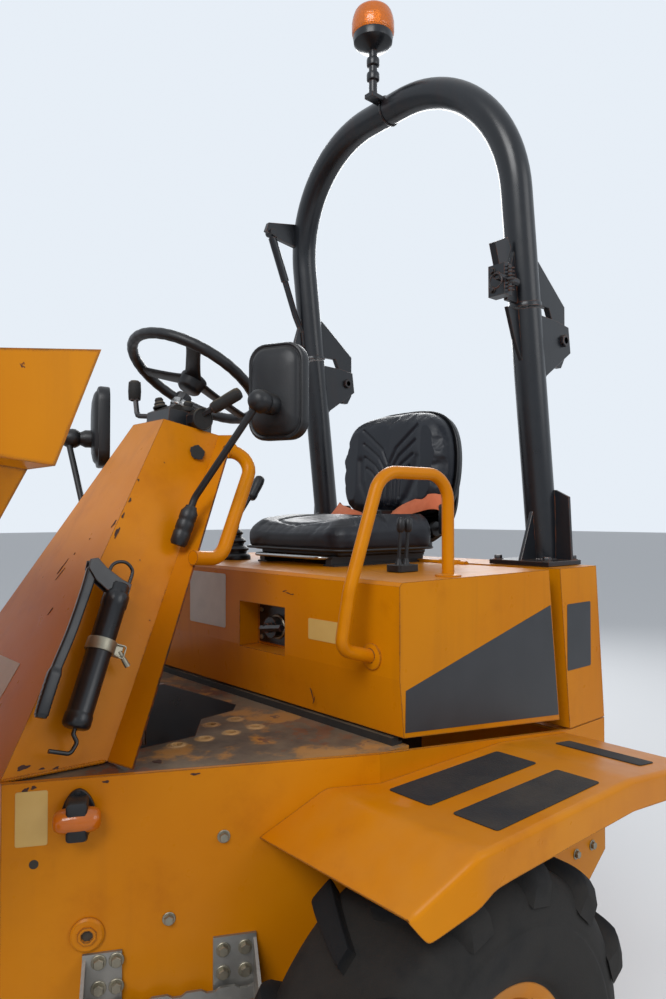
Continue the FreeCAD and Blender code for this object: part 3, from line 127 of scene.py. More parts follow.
# What the camera, mirrors and glass see is the pale backdrop; everything else is lit by the sky
rays = put(tree, "LightPath").outputs
seen = put(tree, "Math", {0: rays["Is Camera Ray"], 1: rays["Is Glossy Ray"]}, operation="MAXIMUM")
seen = put(tree, "Math", {0: seen.outputs[0], 1: rays["Is Transmission Ray"]}, operation="MAXIMUM")
sky = put(tree, "Background", {"Color": (0.88, 0.93, 1.0, 1), "Strength": 0.50})
backdrop = put(tree, "Background", {"Color": (0.80, 0.86, 0.93, 1), "Strength": 1.0})
mixer = put(tree, "MixShader", {"Fac": seen.outputs[0], 1: sky.outputs[0], 2: backdrop.outputs[0]})
put(tree, "OutputWorld", {"Surface": mixer.outputs[0]})
print("floor and world ready")

# %% Lamps
# Name, place, width, height and power in watts
LAMPS = [
    ("lamp_front", (4.2, 3.4, 5.8), 4.0, 3.0, 330),
    ("lamp_side", (-3.0, 5.5, 3.6), 3.0, 3.0, 60),
    ("lamp_back", (-5.5, -4.0, 4.5), 3.0, 3.0, 190),
]
AIM = Vector((-0.6, 0.2, 1.1))
for name, place, width, height, power in LAMPS:
    lamp_data = bpy.data.lights.new(name, "AREA")
    lamp_data.shape = "RECTANGLE"
    lamp_data.size = width
    lamp_data.size_y = height
    lamp_data.energy = power
    lamp = bpy.data.objects.new(name, lamp_data)
    lamp.location = place
    lamp.rotation_mode = "QUATERNION"
    lamp.rotation_quaternion = (AIM - Vector(place)).to_track_quat("-Z", "Y")
    bpy.context.scene.collection.objects.link(lamp)
print("lamps:", len(LAMPS))

# %% [markdown]
# ## Meshes from curves and grids
#
# Every new piece is built from rows of points: a profile turned round an axis, a section carried
# along a path, or an outline given a thickness. The rows are numpy arrays, the faces join
# neighbouring rows, and one call puts the gathered surfaces into a mesh.

# %% Grids, lathes and tubes
UP = np.array((0.0, 0.0, 1.0))
SIDE = np.array((0.0, 1.0, 0.0))
AHEAD = np.array((1.0, 0.0, 0.0))
# The ways of an outline's two directions and of its thickness
UPRIGHT = (AHEAD, UP, SIDE)
FLAT = (AHEAD, SIDE, UP)
FACING = (SIDE, UP, AHEAD)


def unit(vector):
    """A vector over its own length."""
    vector = np.asarray(vector, float)
    return vector / np.linalg.norm(vector)


def unit_rows(vectors):
    """Each row of an array over its own length."""
    return vectors / np.linalg.norm(vectors, axis=1)[:, None]


def angles(count):
    """Even angles round a full turn."""
    return np.linspace(0, 2 * math.pi, count, endpoint=False)


def lengths_along(path):
    """The distance along a path from its first point to each of its points."""
    return np.concatenate([[0], np.cumsum(np.linalg.norm(np.diff(path, axis=0), axis=1))])


def grid(points, wrap_rows=False, wrap_columns=True, caps=True):
    """Quads between neighbouring rows of an (r, c, 3) array, and end faces on open rows."""
    points = np.asarray(points, float)
    rows, columns = points.shape[:2]
    numbers = np.arange(rows * columns).reshape(rows, columns)
    last_row = None if wrap_rows else -1
    last_column = None if wrap_columns else -1
    corners = [numbers, np.roll(numbers, -1, 1), np.roll(np.roll(numbers, -1, 0), -1, 1),
               np.roll(numbers, -1, 0)]
    quads = np.stack([c[:last_row, :last_column].ravel() for c in corners], 1)
    faces = quads.tolist()
    if caps and not wrap_rows and wrap_columns:
        faces.append(numbers[0, ::-1].tolist())
        faces.append(numbers[-1].tolist())
    return points.reshape(-1, 3), faces


def axes_about(axis):
    """Two unit vectors that stand square to an axis and to each other."""
    axis = unit(axis)
    first = unit(np.cross(axis, SIDE if abs(axis[1]) < 0.9 else AHEAD))
    return first, np.cross(axis, first)


def lathe(profile, sides=48, place=(0, 0, 0), axis=(0, 0, 1), closed=False):
    """Each (radius, height) goes round the axis: place + axis h + radius (u cos t + v sin t)."""
    profile = np.asarray(profile, float)
    first, second = axes_about(axis)
    turn = angles(sides)
    circle = np.cos(turn)[:, None] * first + np.sin(turn)[:, None] * second
    points = (np.asarray(place, float) + profile[:, 1][:, None, None] * unit(axis)
              + profile[:, 0][:, None, None] * circle[None])
    return grid(points, wrap_rows=closed, caps=not closed)


def tube(path, radius, sides=14, closed=False):
    """A round section carried along a path, its frame turned from step to step without twist."""
    path = np.asarray(path, float)
    radius = np.broadcast_to(np.asarray(radius, float), len(path))
    if closed:
        heading = np.roll(path, -1, 0) - np.roll(path, 1, 0)
    else:
        heading = np.gradient(path, axis=0)
    heading = unit_rows(heading)
    across = np.empty_like(path)
    across[0] = axes_about(heading[0])[0]
    for i in range(1, len(path)):
        across[i] = unit(across[i - 1] - heading[i] * across[i - 1].dot(heading[i]))
    other = np.cross(heading, across)
    turn = angles(sides)
    circle = (np.cos(turn)[None, :, None] * across[:, None]
              + np.sin(turn)[None, :, None] * other[:, None])
    return grid(path[:, None] + radius[:, None, None] * circle, wrap_rows=closed, caps=not closed)


def swept(line, section, across, out, wide=1.0, deep=1.0):
    """A section's (a, b) corners carried along a line: line + wide a across + deep b out."""
    wide, deep = (np.broadcast_to(v, len(line))[:, None, None] for v in (wide, deep))
    across, out = (np.broadcast_to(v, line.shape)[:, None] for v in (across, out))
    return grid(line[:, None] + wide * section[None, :, :1] * across + deep * section[None, :, 1:] * out)


def bar_path(points, bends, steps=10):
    """Straight runs joined by arcs: each arc's centre lies bend / cos(half the turn) inside its corner."""
    route = np.asarray(points, float)
    path = [route[:1]]
    for i, bend in enumerate(bends, start=1):
        into, out = unit(route[i] - route[i - 1]), unit(route[i + 1] - route[i])
        turn = math.acos(max(-1.0, min(1.0, into.dot(out))))
        inward, along = unit(out - into), unit(out + into)
        centre = route[i] + inward * (bend / math.cos(turn / 2))
        angle = (turn * (np.linspace(0, 1, steps + 1) - 0.5))[:, None]
        path.append(centre - inward * bend * np.cos(angle) + along * bend * np.sin(angle))
    return np.concatenate(path + [route[-1:]])


def flowing(points, count):
    """A smooth curve through the points: Catmull and Rom's cubic between each pair."""
    points = np.asarray(points, float)
    padded = np.concatenate([2 * points[:1] - points[1:2], points, 2 * points[-1:] - points[-2:-1]])
    place = np.linspace(0, len(points) - 1 - 1e-9, count)
    index = place.astype(int)
    t = (place - index)[:, None]
    a, b, c, d = (padded[index + k] for k in range(4))
    return 0.5 * (2 * b + (c - a) * t + (2 * a - 5 * b + 4 * c - d) * t ** 2
                  + (3 * b - a - 3 * c + d) * t ** 3)


def plate(outline, low, high, axes=UPRIGHT, place=(0, 0, 0), bevel=0.0012):
    """A flat outline given a thickness along the third axis, its rims chamfered by a small inset."""
    flat = np.asarray(outline, float)
    area = 0.5 * np.sum(flat[:, 0] * np.roll(flat[:, 1], -1) - np.roll(flat[:, 0], -1) * flat[:, 1])
    if area < 0:
        flat = flat[::-1]
    before, after = unit_rows(flat - np.roll(flat, 1, 0)), unit_rows(np.roll(flat, -1, 0) - flat)
    normal_a = np.stack([-before[:, 1], before[:, 0]], 1)
    normal_b = np.stack([-after[:, 1], after[:, 0]], 1)
    mitre = normal_a + normal_b
    mitre /= np.maximum(0.35, np.sum(mitre * normal_a, 1))[:, None]
    inner = flat + mitre * bevel
    rows = [(inner, low), (flat, low + bevel), (flat, high - bevel), (inner, high)]
    return loft(rows, axes, place)


def disc(radius, height):
    """The profile of a flat disc."""
    return [(0.0, 0.0), (radius, 0.0), (radius, height), (0.0, height)]


def box(low_a, high_a, low_b, high_b):
    """The outline of a rectangle."""
    return [(low_a, low_b), (high_a, low_b), (high_a, high_b), (low_a, high_b)]


def rounded(half_a, half_b, corner, steps=5):
    """The outline of a rectangle with round corners about the origin."""
    turn = np.linspace(0, math.pi / 2, steps + 1)
    arc = np.stack([np.cos(turn), np.sin(turn)], 1) * corner
    middle = np.array((half_a - corner, half_b - corner))
    quarters = [(1, 1, 1), (-1, 1, -1), (-1, -1, 1), (1, -1, -1)]
    return np.concatenate([(middle + arc)[::order] * (a, b) for a, b, order in quarters])


def loft(sections, axes=FLAT, place=(0, 0, 0)):
    """Closed rows of (a, b) points at heights: each section is (outline, height)."""
    u, v, w = (np.asarray(a, float) for a in axes)
    return grid(np.stack([np.asarray(place, float) + o[:, :1] * u + o[:, 1:] * v + h * w
                          for o, h in sections]))


def flipped(surface):
    """The same surface on the machine's other side."""
    points, faces = surface
    return points * (1, -1, 1), [face[::-1] for face in faces]


def both(*surfaces):
    """The surfaces and their twins on the other side."""
    return list(surfaces) + [flipped(s) for s in surfaces]


def points_of(item):
    """The places of a mesh's corners as an (n, 3) array."""
    flat = np.empty(len(item.data.vertices) * 3)
    item.data.vertices.foreach_get("co", flat)
    return flat.reshape(-1, 3)


WELD = 1e-6
made = {}


def report(item):
    """Notes and prints how many triangles a finished piece has."""
    made[item.name] = sum(len(face.vertices) - 2 for face in item.data.polygons)
    print("%s: %d triangles" % (item.name, made[item.name]))


def cleaned(mesh):
    """Welds a mesh at its poles and seams and turns its faces outward."""
    shape = bmesh.new()
    shape.from_mesh(mesh)
    bmesh.ops.remove_doubles(shape, verts=shape.verts, dist=WELD)
    bmesh.ops.recalc_face_normals(shape, faces=shape.faces)
    shape.to_mesh(mesh)
    shape.free()


def piece(name, surfaces, material, body, stands_for=(), crease=32):
    """One mesh from a list of surfaces, riding on a body and standing for solids of it."""
    offsets = np.cumsum([0] + [len(points) for points, _ in surfaces])
    faces = [[int(n) + int(start) for n in face] for start, (_, some) in zip(offsets, surfaces)
             for face in some]
    item = mesh_object(name, np.concatenate([points for points, _ in surfaces]), faces, material)
    cleaned(item.data)
    item.data.set_sharp_from_angle(angle=math.radians(crease))
    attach(item, body)
    if stands_for:
        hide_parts(*stands_for)
    report(item)
    return item


print("helpers ready")

# %% [markdown]
# ## Shared effects
#
# Wear is not a colour but a mask. Each node group below works out one mask or one bump from the
# place on the object: paint worn off edges, flakes, dust lying on top, streaks running down, and
# fine grain. The finishes mix their colours through these masks.


# %% Node helpers
def sums(tree, operation, a, b=0.0, clamp=False):
    """One step of arithmetic between sockets or numbers."""
    return put(tree, "Math", {0: a, 1: b}, operation=operation, use_clamp=clamp).outputs[0]


def plus(tree, a, b):
    """One value added to another."""
    return sums(tree, "ADD", a, b)


def times(tree, a, b, clamp=False):
    """One value times another."""
    return sums(tree, "MULTIPLY", a, b, clamp)


def ramp(tree, value, low, high):
    """0 at low, 1 at high and a smooth rise between them."""
    return put(tree, "MapRange", {"Value": value, "From Min": low, "From Max": high},
               interpolation_type="SMOOTHSTEP").outputs["Result"]


def mixed(tree, mask, below, above):
    """One colour over another through a mask."""
    item = put(tree, "Mix", {"Factor": mask}, data_type="RGBA")
    for socket, value in ((item.inputs[6], below), (item.inputs[7], above)):
        if isinstance(value, bpy.types.NodeSocket):
            tree.links.new(value, socket)
        else:
            socket.default_value = (*value[:3], 1)
    return item.outputs[2]


def noise(tree, vector, scale, detail=4.0, rough=0.55):
    """Fractal noise about 0.5 at a scale of features per metre."""
    return put(tree, "TexNoise", {"Vector": vector, "Scale": scale, "Detail": detail,
                                  "Roughness": rough}).outputs["Fac"]


def effect(name, inputs, outputs):
    """An empty shader group with its sockets; an input is (name, kind, value)."""
    group = bpy.data.node_groups.new(name, "ShaderNodeTree")
    for label, kind, value in inputs:
        socket = group.interface.new_socket(label, in_out="INPUT", socket_type="NodeSocket" + kind)
        if value is not None:
            socket.default_value = value
    for label, kind in outputs:
        group.interface.new_socket(label, in_out="OUTPUT", socket_type="NodeSocket" + kind)
    return group, group.nodes.new("NodeGroupInput").outputs, group.nodes.new("NodeGroupOutput").inputs


def use(tree, group, links):
    """A node that runs a group."""
    return put(tree, "Group", links, node_tree=group).outputs


# %% Edge wear
edge_wear, given, result = effect(
    "edge_wear", [("Vector", "Vector", None), ("Radius", "Float", 0.006), ("Amount", "Float", 0.5)],
    [("Mask", "Float")])
bevel = put(edge_wear, "Bevel", {"Radius": given["Radius"]}, samples=4)
flat = put(edge_wear, "NewGeometry").outputs["Normal"]
bend = put(edge_wear, "VectorMath", {0: bevel.outputs[0], 1: flat}, operation="DOT_PRODUCT")
turned_away = sums(edge_wear, "SUBTRACT", 1.0, bend.outputs["Value"])
patchy = noise(edge_wear, given["Vector"], 16.0, 3.0)
fine = noise(edge_wear, given["Vector"], 140.0, 3.0)
broken = plus(edge_wear, times(edge_wear, patchy, 0.7), times(edge_wear, fine, 0.3))
level = plus(edge_wear, times(edge_wear, turned_away, 1.6), broken)
start = sums(edge_wear, "SUBTRACT", 1.02, times(edge_wear, given["Amount"], 0.42))
worn = ramp(edge_wear, level, start, plus(edge_wear, start, 0.05))
on_edge = ramp(edge_wear, turned_away, 0.01, 0.05)
edge_wear.links.new(times(edge_wear, worn, on_edge), result["Mask"])

# %% Flakes, streaks, dust and grain
flakes, given, result = effect(
    "flakes", [("Vector", "Vector", None), ("Scale", "Float", 30.0), ("Cover", "Float", 0.1)],
    [("Mask", "Float")])
broad = noise(flakes, given["Vector"], times(flakes, given["Scale"], 0.16), 2.0)
small = noise(flakes, given["Vector"], given["Scale"], 7.0, 0.62)
height = plus(flakes, times(flakes, broad, 0.55), times(flakes, small, 0.75))
edge = sums(flakes, "SUBTRACT", 0.93, times(flakes, given["Cover"], 0.6))
flakes.links.new(ramp(flakes, height, edge, plus(flakes, edge, 0.015)), result["Mask"])

streaks, given, result = effect(
    "streaks", [("Vector", "Vector", None), ("Cover", "Float", 0.3)], [("Mask", "Float")])
drawn = put(streaks, "Mapping", {"Vector": given["Vector"], "Scale": (26.0, 26.0, 1.6)}).outputs[0]
lines = noise(streaks, drawn, 1.0, 5.0)
areas = noise(streaks, given["Vector"], 2.2, 2.0)
both_noises = times(streaks, ramp(streaks, lines, 0.46, 0.72), ramp(streaks, areas, 0.42, 0.66))
streaks.links.new(times(streaks, both_noises, given["Cover"]), result["Mask"])

dust, given, result = effect(
    "dust", [("Vector", "Vector", None), ("Amount", "Float", 0.4), ("Ground", "Float", 0.5)],
    [("Mask", "Float")])
upward = put(dust, "SeparateXYZ", {0: put(dust, "TexCoord").outputs["Normal"]}).outputs["Z"]
lying = times(dust, ramp(dust, upward, 0.25, 1.0), 0.8)
spot = put(dust, "SeparateXYZ", {0: given["Vector"]}).outputs["Z"]
near_ground = times(dust, ramp(dust, spot, 1.15, 0.25), given["Ground"])
where = sums(dust, "MAXIMUM", lying, near_ground)
cloudy = plus(dust, noise(dust, given["Vector"], 5.0, 6.0, 0.6), 0.12)
settled = times(dust, where, ramp(dust, cloudy, 0.4, 0.85))
dust.links.new(times(dust, settled, given["Amount"], clamp=True), result["Mask"])

grain, given, result = effect(
    "grain", [("Vector", "Vector", None), ("Scale", "Float", 400.0), ("Depth", "Float", 0.0004)],
    [("Normal", "Vector")])
rough_height = noise(grain, given["Vector"], given["Scale"], 2.0)
grain.links.new(put(grain, "Bump", {"Height": rough_height, "Distance": given["Depth"],
                                    "Strength": 0.6}).outputs[0], result["Normal"])

dents, given, result = effect(
    "dents", [("Vector", "Vector", None), ("Depth", "Float", 0.004)], [("Normal", "Vector")])
soft = noise(dents, given["Vector"], 3.2, 1.0)
peel = noise(dents, given["Vector"], 260.0, 1.0)
relief = plus(dents, soft, times(dents, peel, 0.012))
dents.links.new(put(dents, "Bump", {"Height": relief, "Distance": given["Depth"],
                                    "Strength": 0.7}).outputs[0], result["Normal"])
print("effects:", [g.name for g in bpy.data.node_groups])

# %% [markdown]
# ## Finishes
#
# The machine has stood outdoors and worked. Its orange-yellow paint is chalky on top, chipped to
# dark primer and rust at the edges, and dusty near the ground. The deck is worn to its primer,
# with bright rings where boots have rubbed round the holes. Tyres are dusty in the grooves.


# %% Colours
def shade(red, green, blue):
    """A colour written as it looks on a screen, 0 to 255, given as linear light."""
    values = np.array((red, green, blue)) / 255
    linear = np.where(values <= 0.04045, values / 12.92, ((values + 0.055) / 1.055) ** 2.4)
    return tuple(float(v) for v in linear) + (1.0,)


YELLOW, YELLOW_FADED, YELLOW_DEEP = shade(197, 118, 2), shade(205, 128, 5), shade(178, 101, 1)
PRIMER, RUST, RUST_DARK = shade(64, 54, 46), shade(118, 62, 30), shade(74, 40, 24)
DUST, STEEL_DARK = shade(158, 140, 112), shade(84, 82, 78)
# BLACK and BLACK_FADED lean blue: the tint is a painted reflection of the sky, the dark tone is the paint's
# own
BLACK, BLACK_FADED, BLACK_DEEP = shade(16, 19, 24), shade(26, 29, 34), shade(22, 22, 24)


def finish(name):
    """A material with its tree, its shader and the place on the object."""
    material = bpy.data.materials.new(name)
    material.use_nodes = True
    tree = material.node_tree
    shader = tree.nodes["Principled BSDF"]
    place = tree.nodes.new("ShaderNodeTexCoord").outputs["Object"]
    return material, tree, shader, place


def join(tree, shader, **links):
    """Each named shader input, its words parted by _, linked from a socket or set to a value."""
    for key, value in links.items():
        socket = shader.inputs[key.replace("_", " ")]
        if isinstance(value, bpy.types.NodeSocket):
            tree.links.new(value, socket)
        else:
            socket.default_value = value


def grained(tree, place, scale, depth):
    """The normal of a fine, even grain."""
    return use(tree, grain, {"Vector": place, "Scale": scale, "Depth": depth})["Normal"]


def streaked(tree, place, base, cover):
    """A colour with rust run down over it."""
    return mixed(tree, use(tree, streaks, {"Vector": place, "Cover": cover})["Mask"], base, RUST)


def dusted(tree, place, base, amount, ground=0.5):
    """A colour with dust lying over it, and the dust's mask."""
    film = use(tree, dust, {"Vector": place, "Amount": amount, "Ground": ground})["Mask"]
    return mixed(tree, film, base, DUST), film


def chipped(tree, place, base, radius, edges, scale, cover):
    """A colour with chipped edges and flakes, which show primer and rust, and their mask."""
    chips = use(tree, edge_wear, {"Vector": place, "Radius": radius, "Amount": edges})["Mask"]
    spots = use(tree, flakes, {"Vector": place, "Scale": scale, "Cover": cover})["Mask"]
    lost = sums(tree, "MAXIMUM", chips, spots)
    bare = mixed(tree, ramp(tree, noise(tree, place, 60.0, 5.0), 0.42, 0.62), PRIMER, RUST)
    return mixed(tree, lost, base, bare), lost


def painted(name, colour, faded, deep, edges=0.45, cover=0.05, dusty=0.16, ground=0.3, gloss=0.30,
            rusty=1.0, depth=0.003, sheen=0.13):
    """Old paint: uneven colour, then streaks, chips to primer and rust, and dust over all."""
    material, tree, shader, place = finish(name)
    uneven = ramp(tree, noise(tree, place, 2.6, 5.0), 0.32, 0.7)
    base = mixed(tree, uneven, colour, faded)
    base = mixed(tree, times(tree, ramp(tree, noise(tree, place, 7.0, 6.0, 0.65), 0.5, 0.8), 0.6),
                 base, deep)
    base = streaked(tree, place, base, 0.16 * rusty)
    base, lost = chipped(tree, place, base, 0.006, edges, 42.0, cover)
    base, film = dusted(tree, place, base, dusty, ground)
    dullness = plus(tree, times(tree, noise(tree, place, 30.0, 4.0), 0.16), gloss - 0.08)
    dullness = plus(tree, dullness, times(tree, sums(tree, "MAXIMUM", lost, film), 0.4))
    relief = use(tree, dents, {"Vector": place, "Depth": depth})["Normal"]
    join(tree, shader, Base_Color=base, Roughness=dullness, Normal=relief, Specular_IOR_Level=sheen)
    return material


# %% Paints
yellow = painted("yellow_worn", YELLOW, YELLOW_FADED, YELLOW_DEEP)
wheel_yellow = painted("wheel_yellow", YELLOW, YELLOW_FADED, YELLOW_DEEP, edges=0.6, cover=0.12,
                       dusty=0.5, ground=0.8, gloss=0.42, depth=0.001)
black = painted("black_satin", BLACK, BLACK_FADED, BLACK_DEEP, edges=0.34, cover=0.03, dusty=0.12,
                ground=0.2, gloss=0.30, rusty=0.4, depth=0.001, sheen=0.45)
ram_black = painted("ram_black", BLACK, BLACK_FADED, BLACK_DEEP, edges=0.5, cover=0.08, dusty=0.6,
                    ground=1.0, gloss=0.5, rusty=0.6, depth=0.001, sheen=0.4)

# %% Skip paint, scraped bright inside
skip_yellow, tree, shader, place = finish("skip_yellow")
uneven = ramp(tree, noise(tree, place, 2.6, 5.0), 0.32, 0.7)
base = mixed(tree, uneven, YELLOW, YELLOW_FADED)
parts = put(tree, "SeparateXYZ", {0: place}).outputs
facing = put(tree, "SeparateXYZ", {0: put(tree, "TexCoord").outputs["Normal"]}).outputs
looks_in = times(tree, ramp(tree, facing["Z"], 0.08, 0.2), ramp(tree, parts["Z"], 1.52, 1.15))
scraped_lines = put(tree, "Mapping", {"Vector": place, "Scale": (2.2, 20.0, 14.0)}).outputs[0]
scrape = plus(tree, times(tree, noise(tree, scraped_lines, 1.0, 6.0, 0.6), 0.75),
              times(tree, looks_in, 0.34))
scraped = times(tree, ramp(tree, scrape, 0.55, 0.72), ramp(tree, looks_in, 0.02, 0.3))
metal = mixed(tree, ramp(tree, noise(tree, place, 9.0, 6.0, 0.6), 0.45, 0.62), STEEL_DARK, RUST)
base = mixed(tree, scraped, base, metal)
base = streaked(tree, place, base, 0.3)
base, lost = chipped(tree, place, base, 0.008, 0.85, 34.0, 0.14)
base, film = dusted(tree, place, base, 0.3, 0.2)
dullness = plus(tree, 0.34, times(tree, sums(tree, "MAXIMUM", lost, film), 0.4))
join(tree, shader, Base_Color=base, Roughness=dullness, Specular_IOR_Level=0.2,
     Metallic=times(tree, scraped, 0.35),
     Normal=use(tree, dents, {"Vector": place, "Depth": 0.008})["Normal"])

# %% Deck paint worn to primer, pale round the holes
HOLE_FIRST_X, HOLE_PITCH_X = -0.715, 0.066
HOLE_FIRST_Y, HOLE_PITCH_Y = 0.190, 0.080
HOLES_ALONG, HOLES_ACROSS = 4, 2
hole_ring, given, result = effect("hole_ring", [("Vector", "Vector", None)], [("Mask", "Float")])
spot = put(hole_ring, "SeparateXYZ", {0: given["Vector"]}).outputs
from_first = (sums(hole_ring, "SUBTRACT", HOLE_FIRST_X, spot["X"]),
              sums(hole_ring, "SUBTRACT", sums(hole_ring, "ABSOLUTE", spot["Y"]), HOLE_FIRST_Y))
squares = []
for value, pitch, last in zip(from_first, (HOLE_PITCH_X, HOLE_PITCH_Y), (HOLES_ALONG - 1, HOLES_ACROSS - 1)):
    number = sums(hole_ring, "DIVIDE", value, pitch)
    nearest = sums(hole_ring, "MAXIMUM", sums(hole_ring, "ROUND", number), 0.0)
    nearest = sums(hole_ring, "MINIMUM", nearest, float(last))
    away = times(hole_ring, sums(hole_ring, "SUBTRACT", number, nearest), pitch)
    squares.append(times(hole_ring, away, away))
reach = sums(hole_ring, "SQRT", plus(hole_ring, *squares))
wavy = plus(hole_ring, reach, times(hole_ring, noise(hole_ring, given["Vector"], 60.0), 0.012))
hole_ring.links.new(ramp(hole_ring, wavy, 0.031, 0.022), result["Mask"])

deck_worn, tree, shader, place = finish("deck_worn")
walked = ramp(tree, noise(tree, place, 6.0, 7.0, 0.62), 0.50, 0.60)
base = mixed(tree, walked, mixed(tree, noise(tree, place, 40.0, 4.0), shade(66, 56, 50), shade(88, 74, 62)),
             shade(176, 118, 34))
rubbed = use(tree, hole_ring, {"Vector": place})["Mask"]
base = mixed(tree, rubbed, base, shade(190, 150, 96))
rust_spots = use(tree, flakes, {"Vector": place, "Scale": 26.0, "Cover": 0.34})["Mask"]
base = mixed(tree, rust_spots, base, mixed(tree, noise(tree, place, 80.0, 3.0), RUST, RUST_DARK))
base = dusted(tree, place, base, 0.62, 0.0)[0]
join(tree, shader, Base_Color=base, Roughness=0.72, Normal=grained(tree, place, 90.0, 0.0015))

# %% Rubber, plastic, vinyl and webbing
tyre_rubber, tree, shader, place = finish("tyre_rubber")
wear = put(tree, "Attribute", attribute_name="wear").outputs["Fac"]
dusty_spots = plus(tree, times(tree, noise(tree, place, 12.0, 7.0, 0.6), 0.9),
                   times(tree, wear, -0.42))
clay = ramp(tree, dusty_spots, 0.10, 0.52)
base = mixed(tree, noise(tree, place, 30.0, 4.0), shade(11, 12, 14), shade(20, 21, 23))
base = mixed(tree, times(tree, clay, 0.18), base, shade(78, 72, 64))
join(tree, shader, Base_Color=base, Roughness=0.82, Specular_IOR_Level=0.3,
     Normal=grained(tree, place, 320.0, 0.0006))


def plain(name, dark, light, rough, scale, texture, depth, dusty, metal):
    """One material with a soft change of tone, fine grain and some dust."""
    material, tree, shader, place = finish(name)
    base = mixed(tree, noise(tree, place, scale, 4.0), dark, light)
    base, film = dusted(tree, place, base, dusty)
    dullness = plus(tree, rough - 0.06, times(tree, noise(tree, place, scale * 2, 3.0), 0.12))
    join(tree, shader, Base_Color=base, Roughness=plus(tree, dullness, times(tree, film, 0.3)),
         Metallic=metal, Specular_IOR_Level=0.4, Normal=grained(tree, place, texture, depth))
    return material


# Dark and light tone, roughness, scale of the tones, scale and depth of the grain, dust, metal
PLAIN = {
    "black_plastic": ((16, 17, 20), (25, 26, 29), 0.42, 30.0, 420.0, 0.0003, 0.08, 0.0),
    # The seat vinyl's blue tint is a painted reflection of the sky; the dark tone is its own
    "seat_vinyl": ((12, 16, 24), (18, 23, 33), 0.44, 14.0, 700.0, 0.0004, 0.06, 0.0),
    "rubber": ((24, 24, 24), (42, 41, 40), 0.75, 20.0, 300.0, 0.0004, 0.5, 0.0),
    "grip_pad": ((20, 22, 26), (34, 36, 40), 0.78, 60.0, 240.0, 0.0018, 0.12, 0.0),
    "galvanised": ((128, 128, 126), (168, 167, 162), 0.42, 22.0, 160.0, 0.0004, 0.35, 0.75),
    "bright_steel": ((150, 150, 150), (190, 190, 188), 0.24, 16.0, 90.0, 0.0001, 0.1, 0.95),
    "zinc_bolts": ((120, 116, 104), (164, 158, 140), 0.4, 60.0, 200.0, 0.0002, 0.2, 0.8),
    "bare_metal": ((36, 26, 24), (78, 44, 32), 0.7, 90.0, 260.0, 0.0006, 0.1, 0.0),
    "decal_dark": ((40, 42, 46), (58, 60, 64), 0.36, 10.0, 300.0, 0.0001, 0.2, 0.0),
    "label_pale": ((176, 176, 172), (208, 206, 200), 0.42, 20.0, 260.0, 0.0001, 0.25, 0.0),
    "label_yellow": ((200, 160, 84), (214, 180, 108), 0.45, 20.0, 260.0, 0.0001, 0.2, 0.0),
    "belt_webbing": ((186, 92, 58), (214, 122, 84), 0.8, 50.0, 900.0, 0.0008, 0.25, 0.0),
    "mirror_glass": ((196, 204, 208), (206, 212, 216), 0.05, 3.0, 20.0, 0.00001, 0.0, 1.0),
}
plains = {name: plain(name, shade(*dark), shade(*light), *rest)
          for name, (dark, light, *rest) in PLAIN.items()}
(plastic, vinyl, rubber, grip_rubber, galvanised, bright, zinc, bare_metal, decal_dark, label_pale,
 label_yellow, webbing, mirror_glass) = plains.values()


def lens(name, colour):
    """Moulded plastic that lets light in: a tinted, part transmitting shader with a fine grain."""
    material, tree, shader, place = finish(name)
    base = mixed(tree, noise(tree, place, 40.0, 3.0), colour, tuple(0.8 * c for c in colour[:3]) + (1.0,))
    base = dusted(tree, place, base, 0.2, 0.3)[0]
    join(tree, shader, Base_Color=base, Roughness=0.16, Transmission_Weight=0.25, IOR=1.49,
         Normal=grained(tree, place, 120.0, 0.0006))
    return material


amber = lens("amber_lens", shade(226, 118, 16))
red = lens("red_lens", shade(176, 22, 16))

SLOT_FINISH = {
    "yellow_paint": yellow, "deck_paint": deck_worn, "black_paint": black, "black_plastic": plastic,
    "black_vinyl": vinyl, "tyre_rubber": tyre_rubber, "wheel_paint": wheel_yellow,
    "galvanised": galvanised, "bright_steel": bright, "ram_paint": ram_black, "amber_lens": amber,
    "red_lens": red, "belt_webbing": webbing, "seal_rubber": rubber,
}
for part in frame["record"]["subparts"]:
    item = nodes[part["node"]]
    item.data.materials.clear()
    item.data.materials.append(SLOT_FINISH[part["material_slot"]])
nodes["skip"].data.materials[0] = skip_yellow
# A table of the slot of each finish; these finishes share a slot with another
SLOT_OF = {material.name: slot for slot, material in SLOT_FINISH.items()}
SLOT_OF.update(skip_yellow="yellow_paint", bare_metal="black_paint", grip_pad="seal_rubber",
               zinc_bolts="bright_steel", mirror_glass="bright_steel", label_pale="galvanised",
               label_yellow="galvanised")
print("finishes:", len(bpy.data.materials))

# %% [markdown]
# ## Wheels
#
# A tyre is a smooth carcass with two rows of slanted lugs that meet near the middle. A rim is one
# turned profile with its disc, hub and well. Both stand where the solid ones stand.

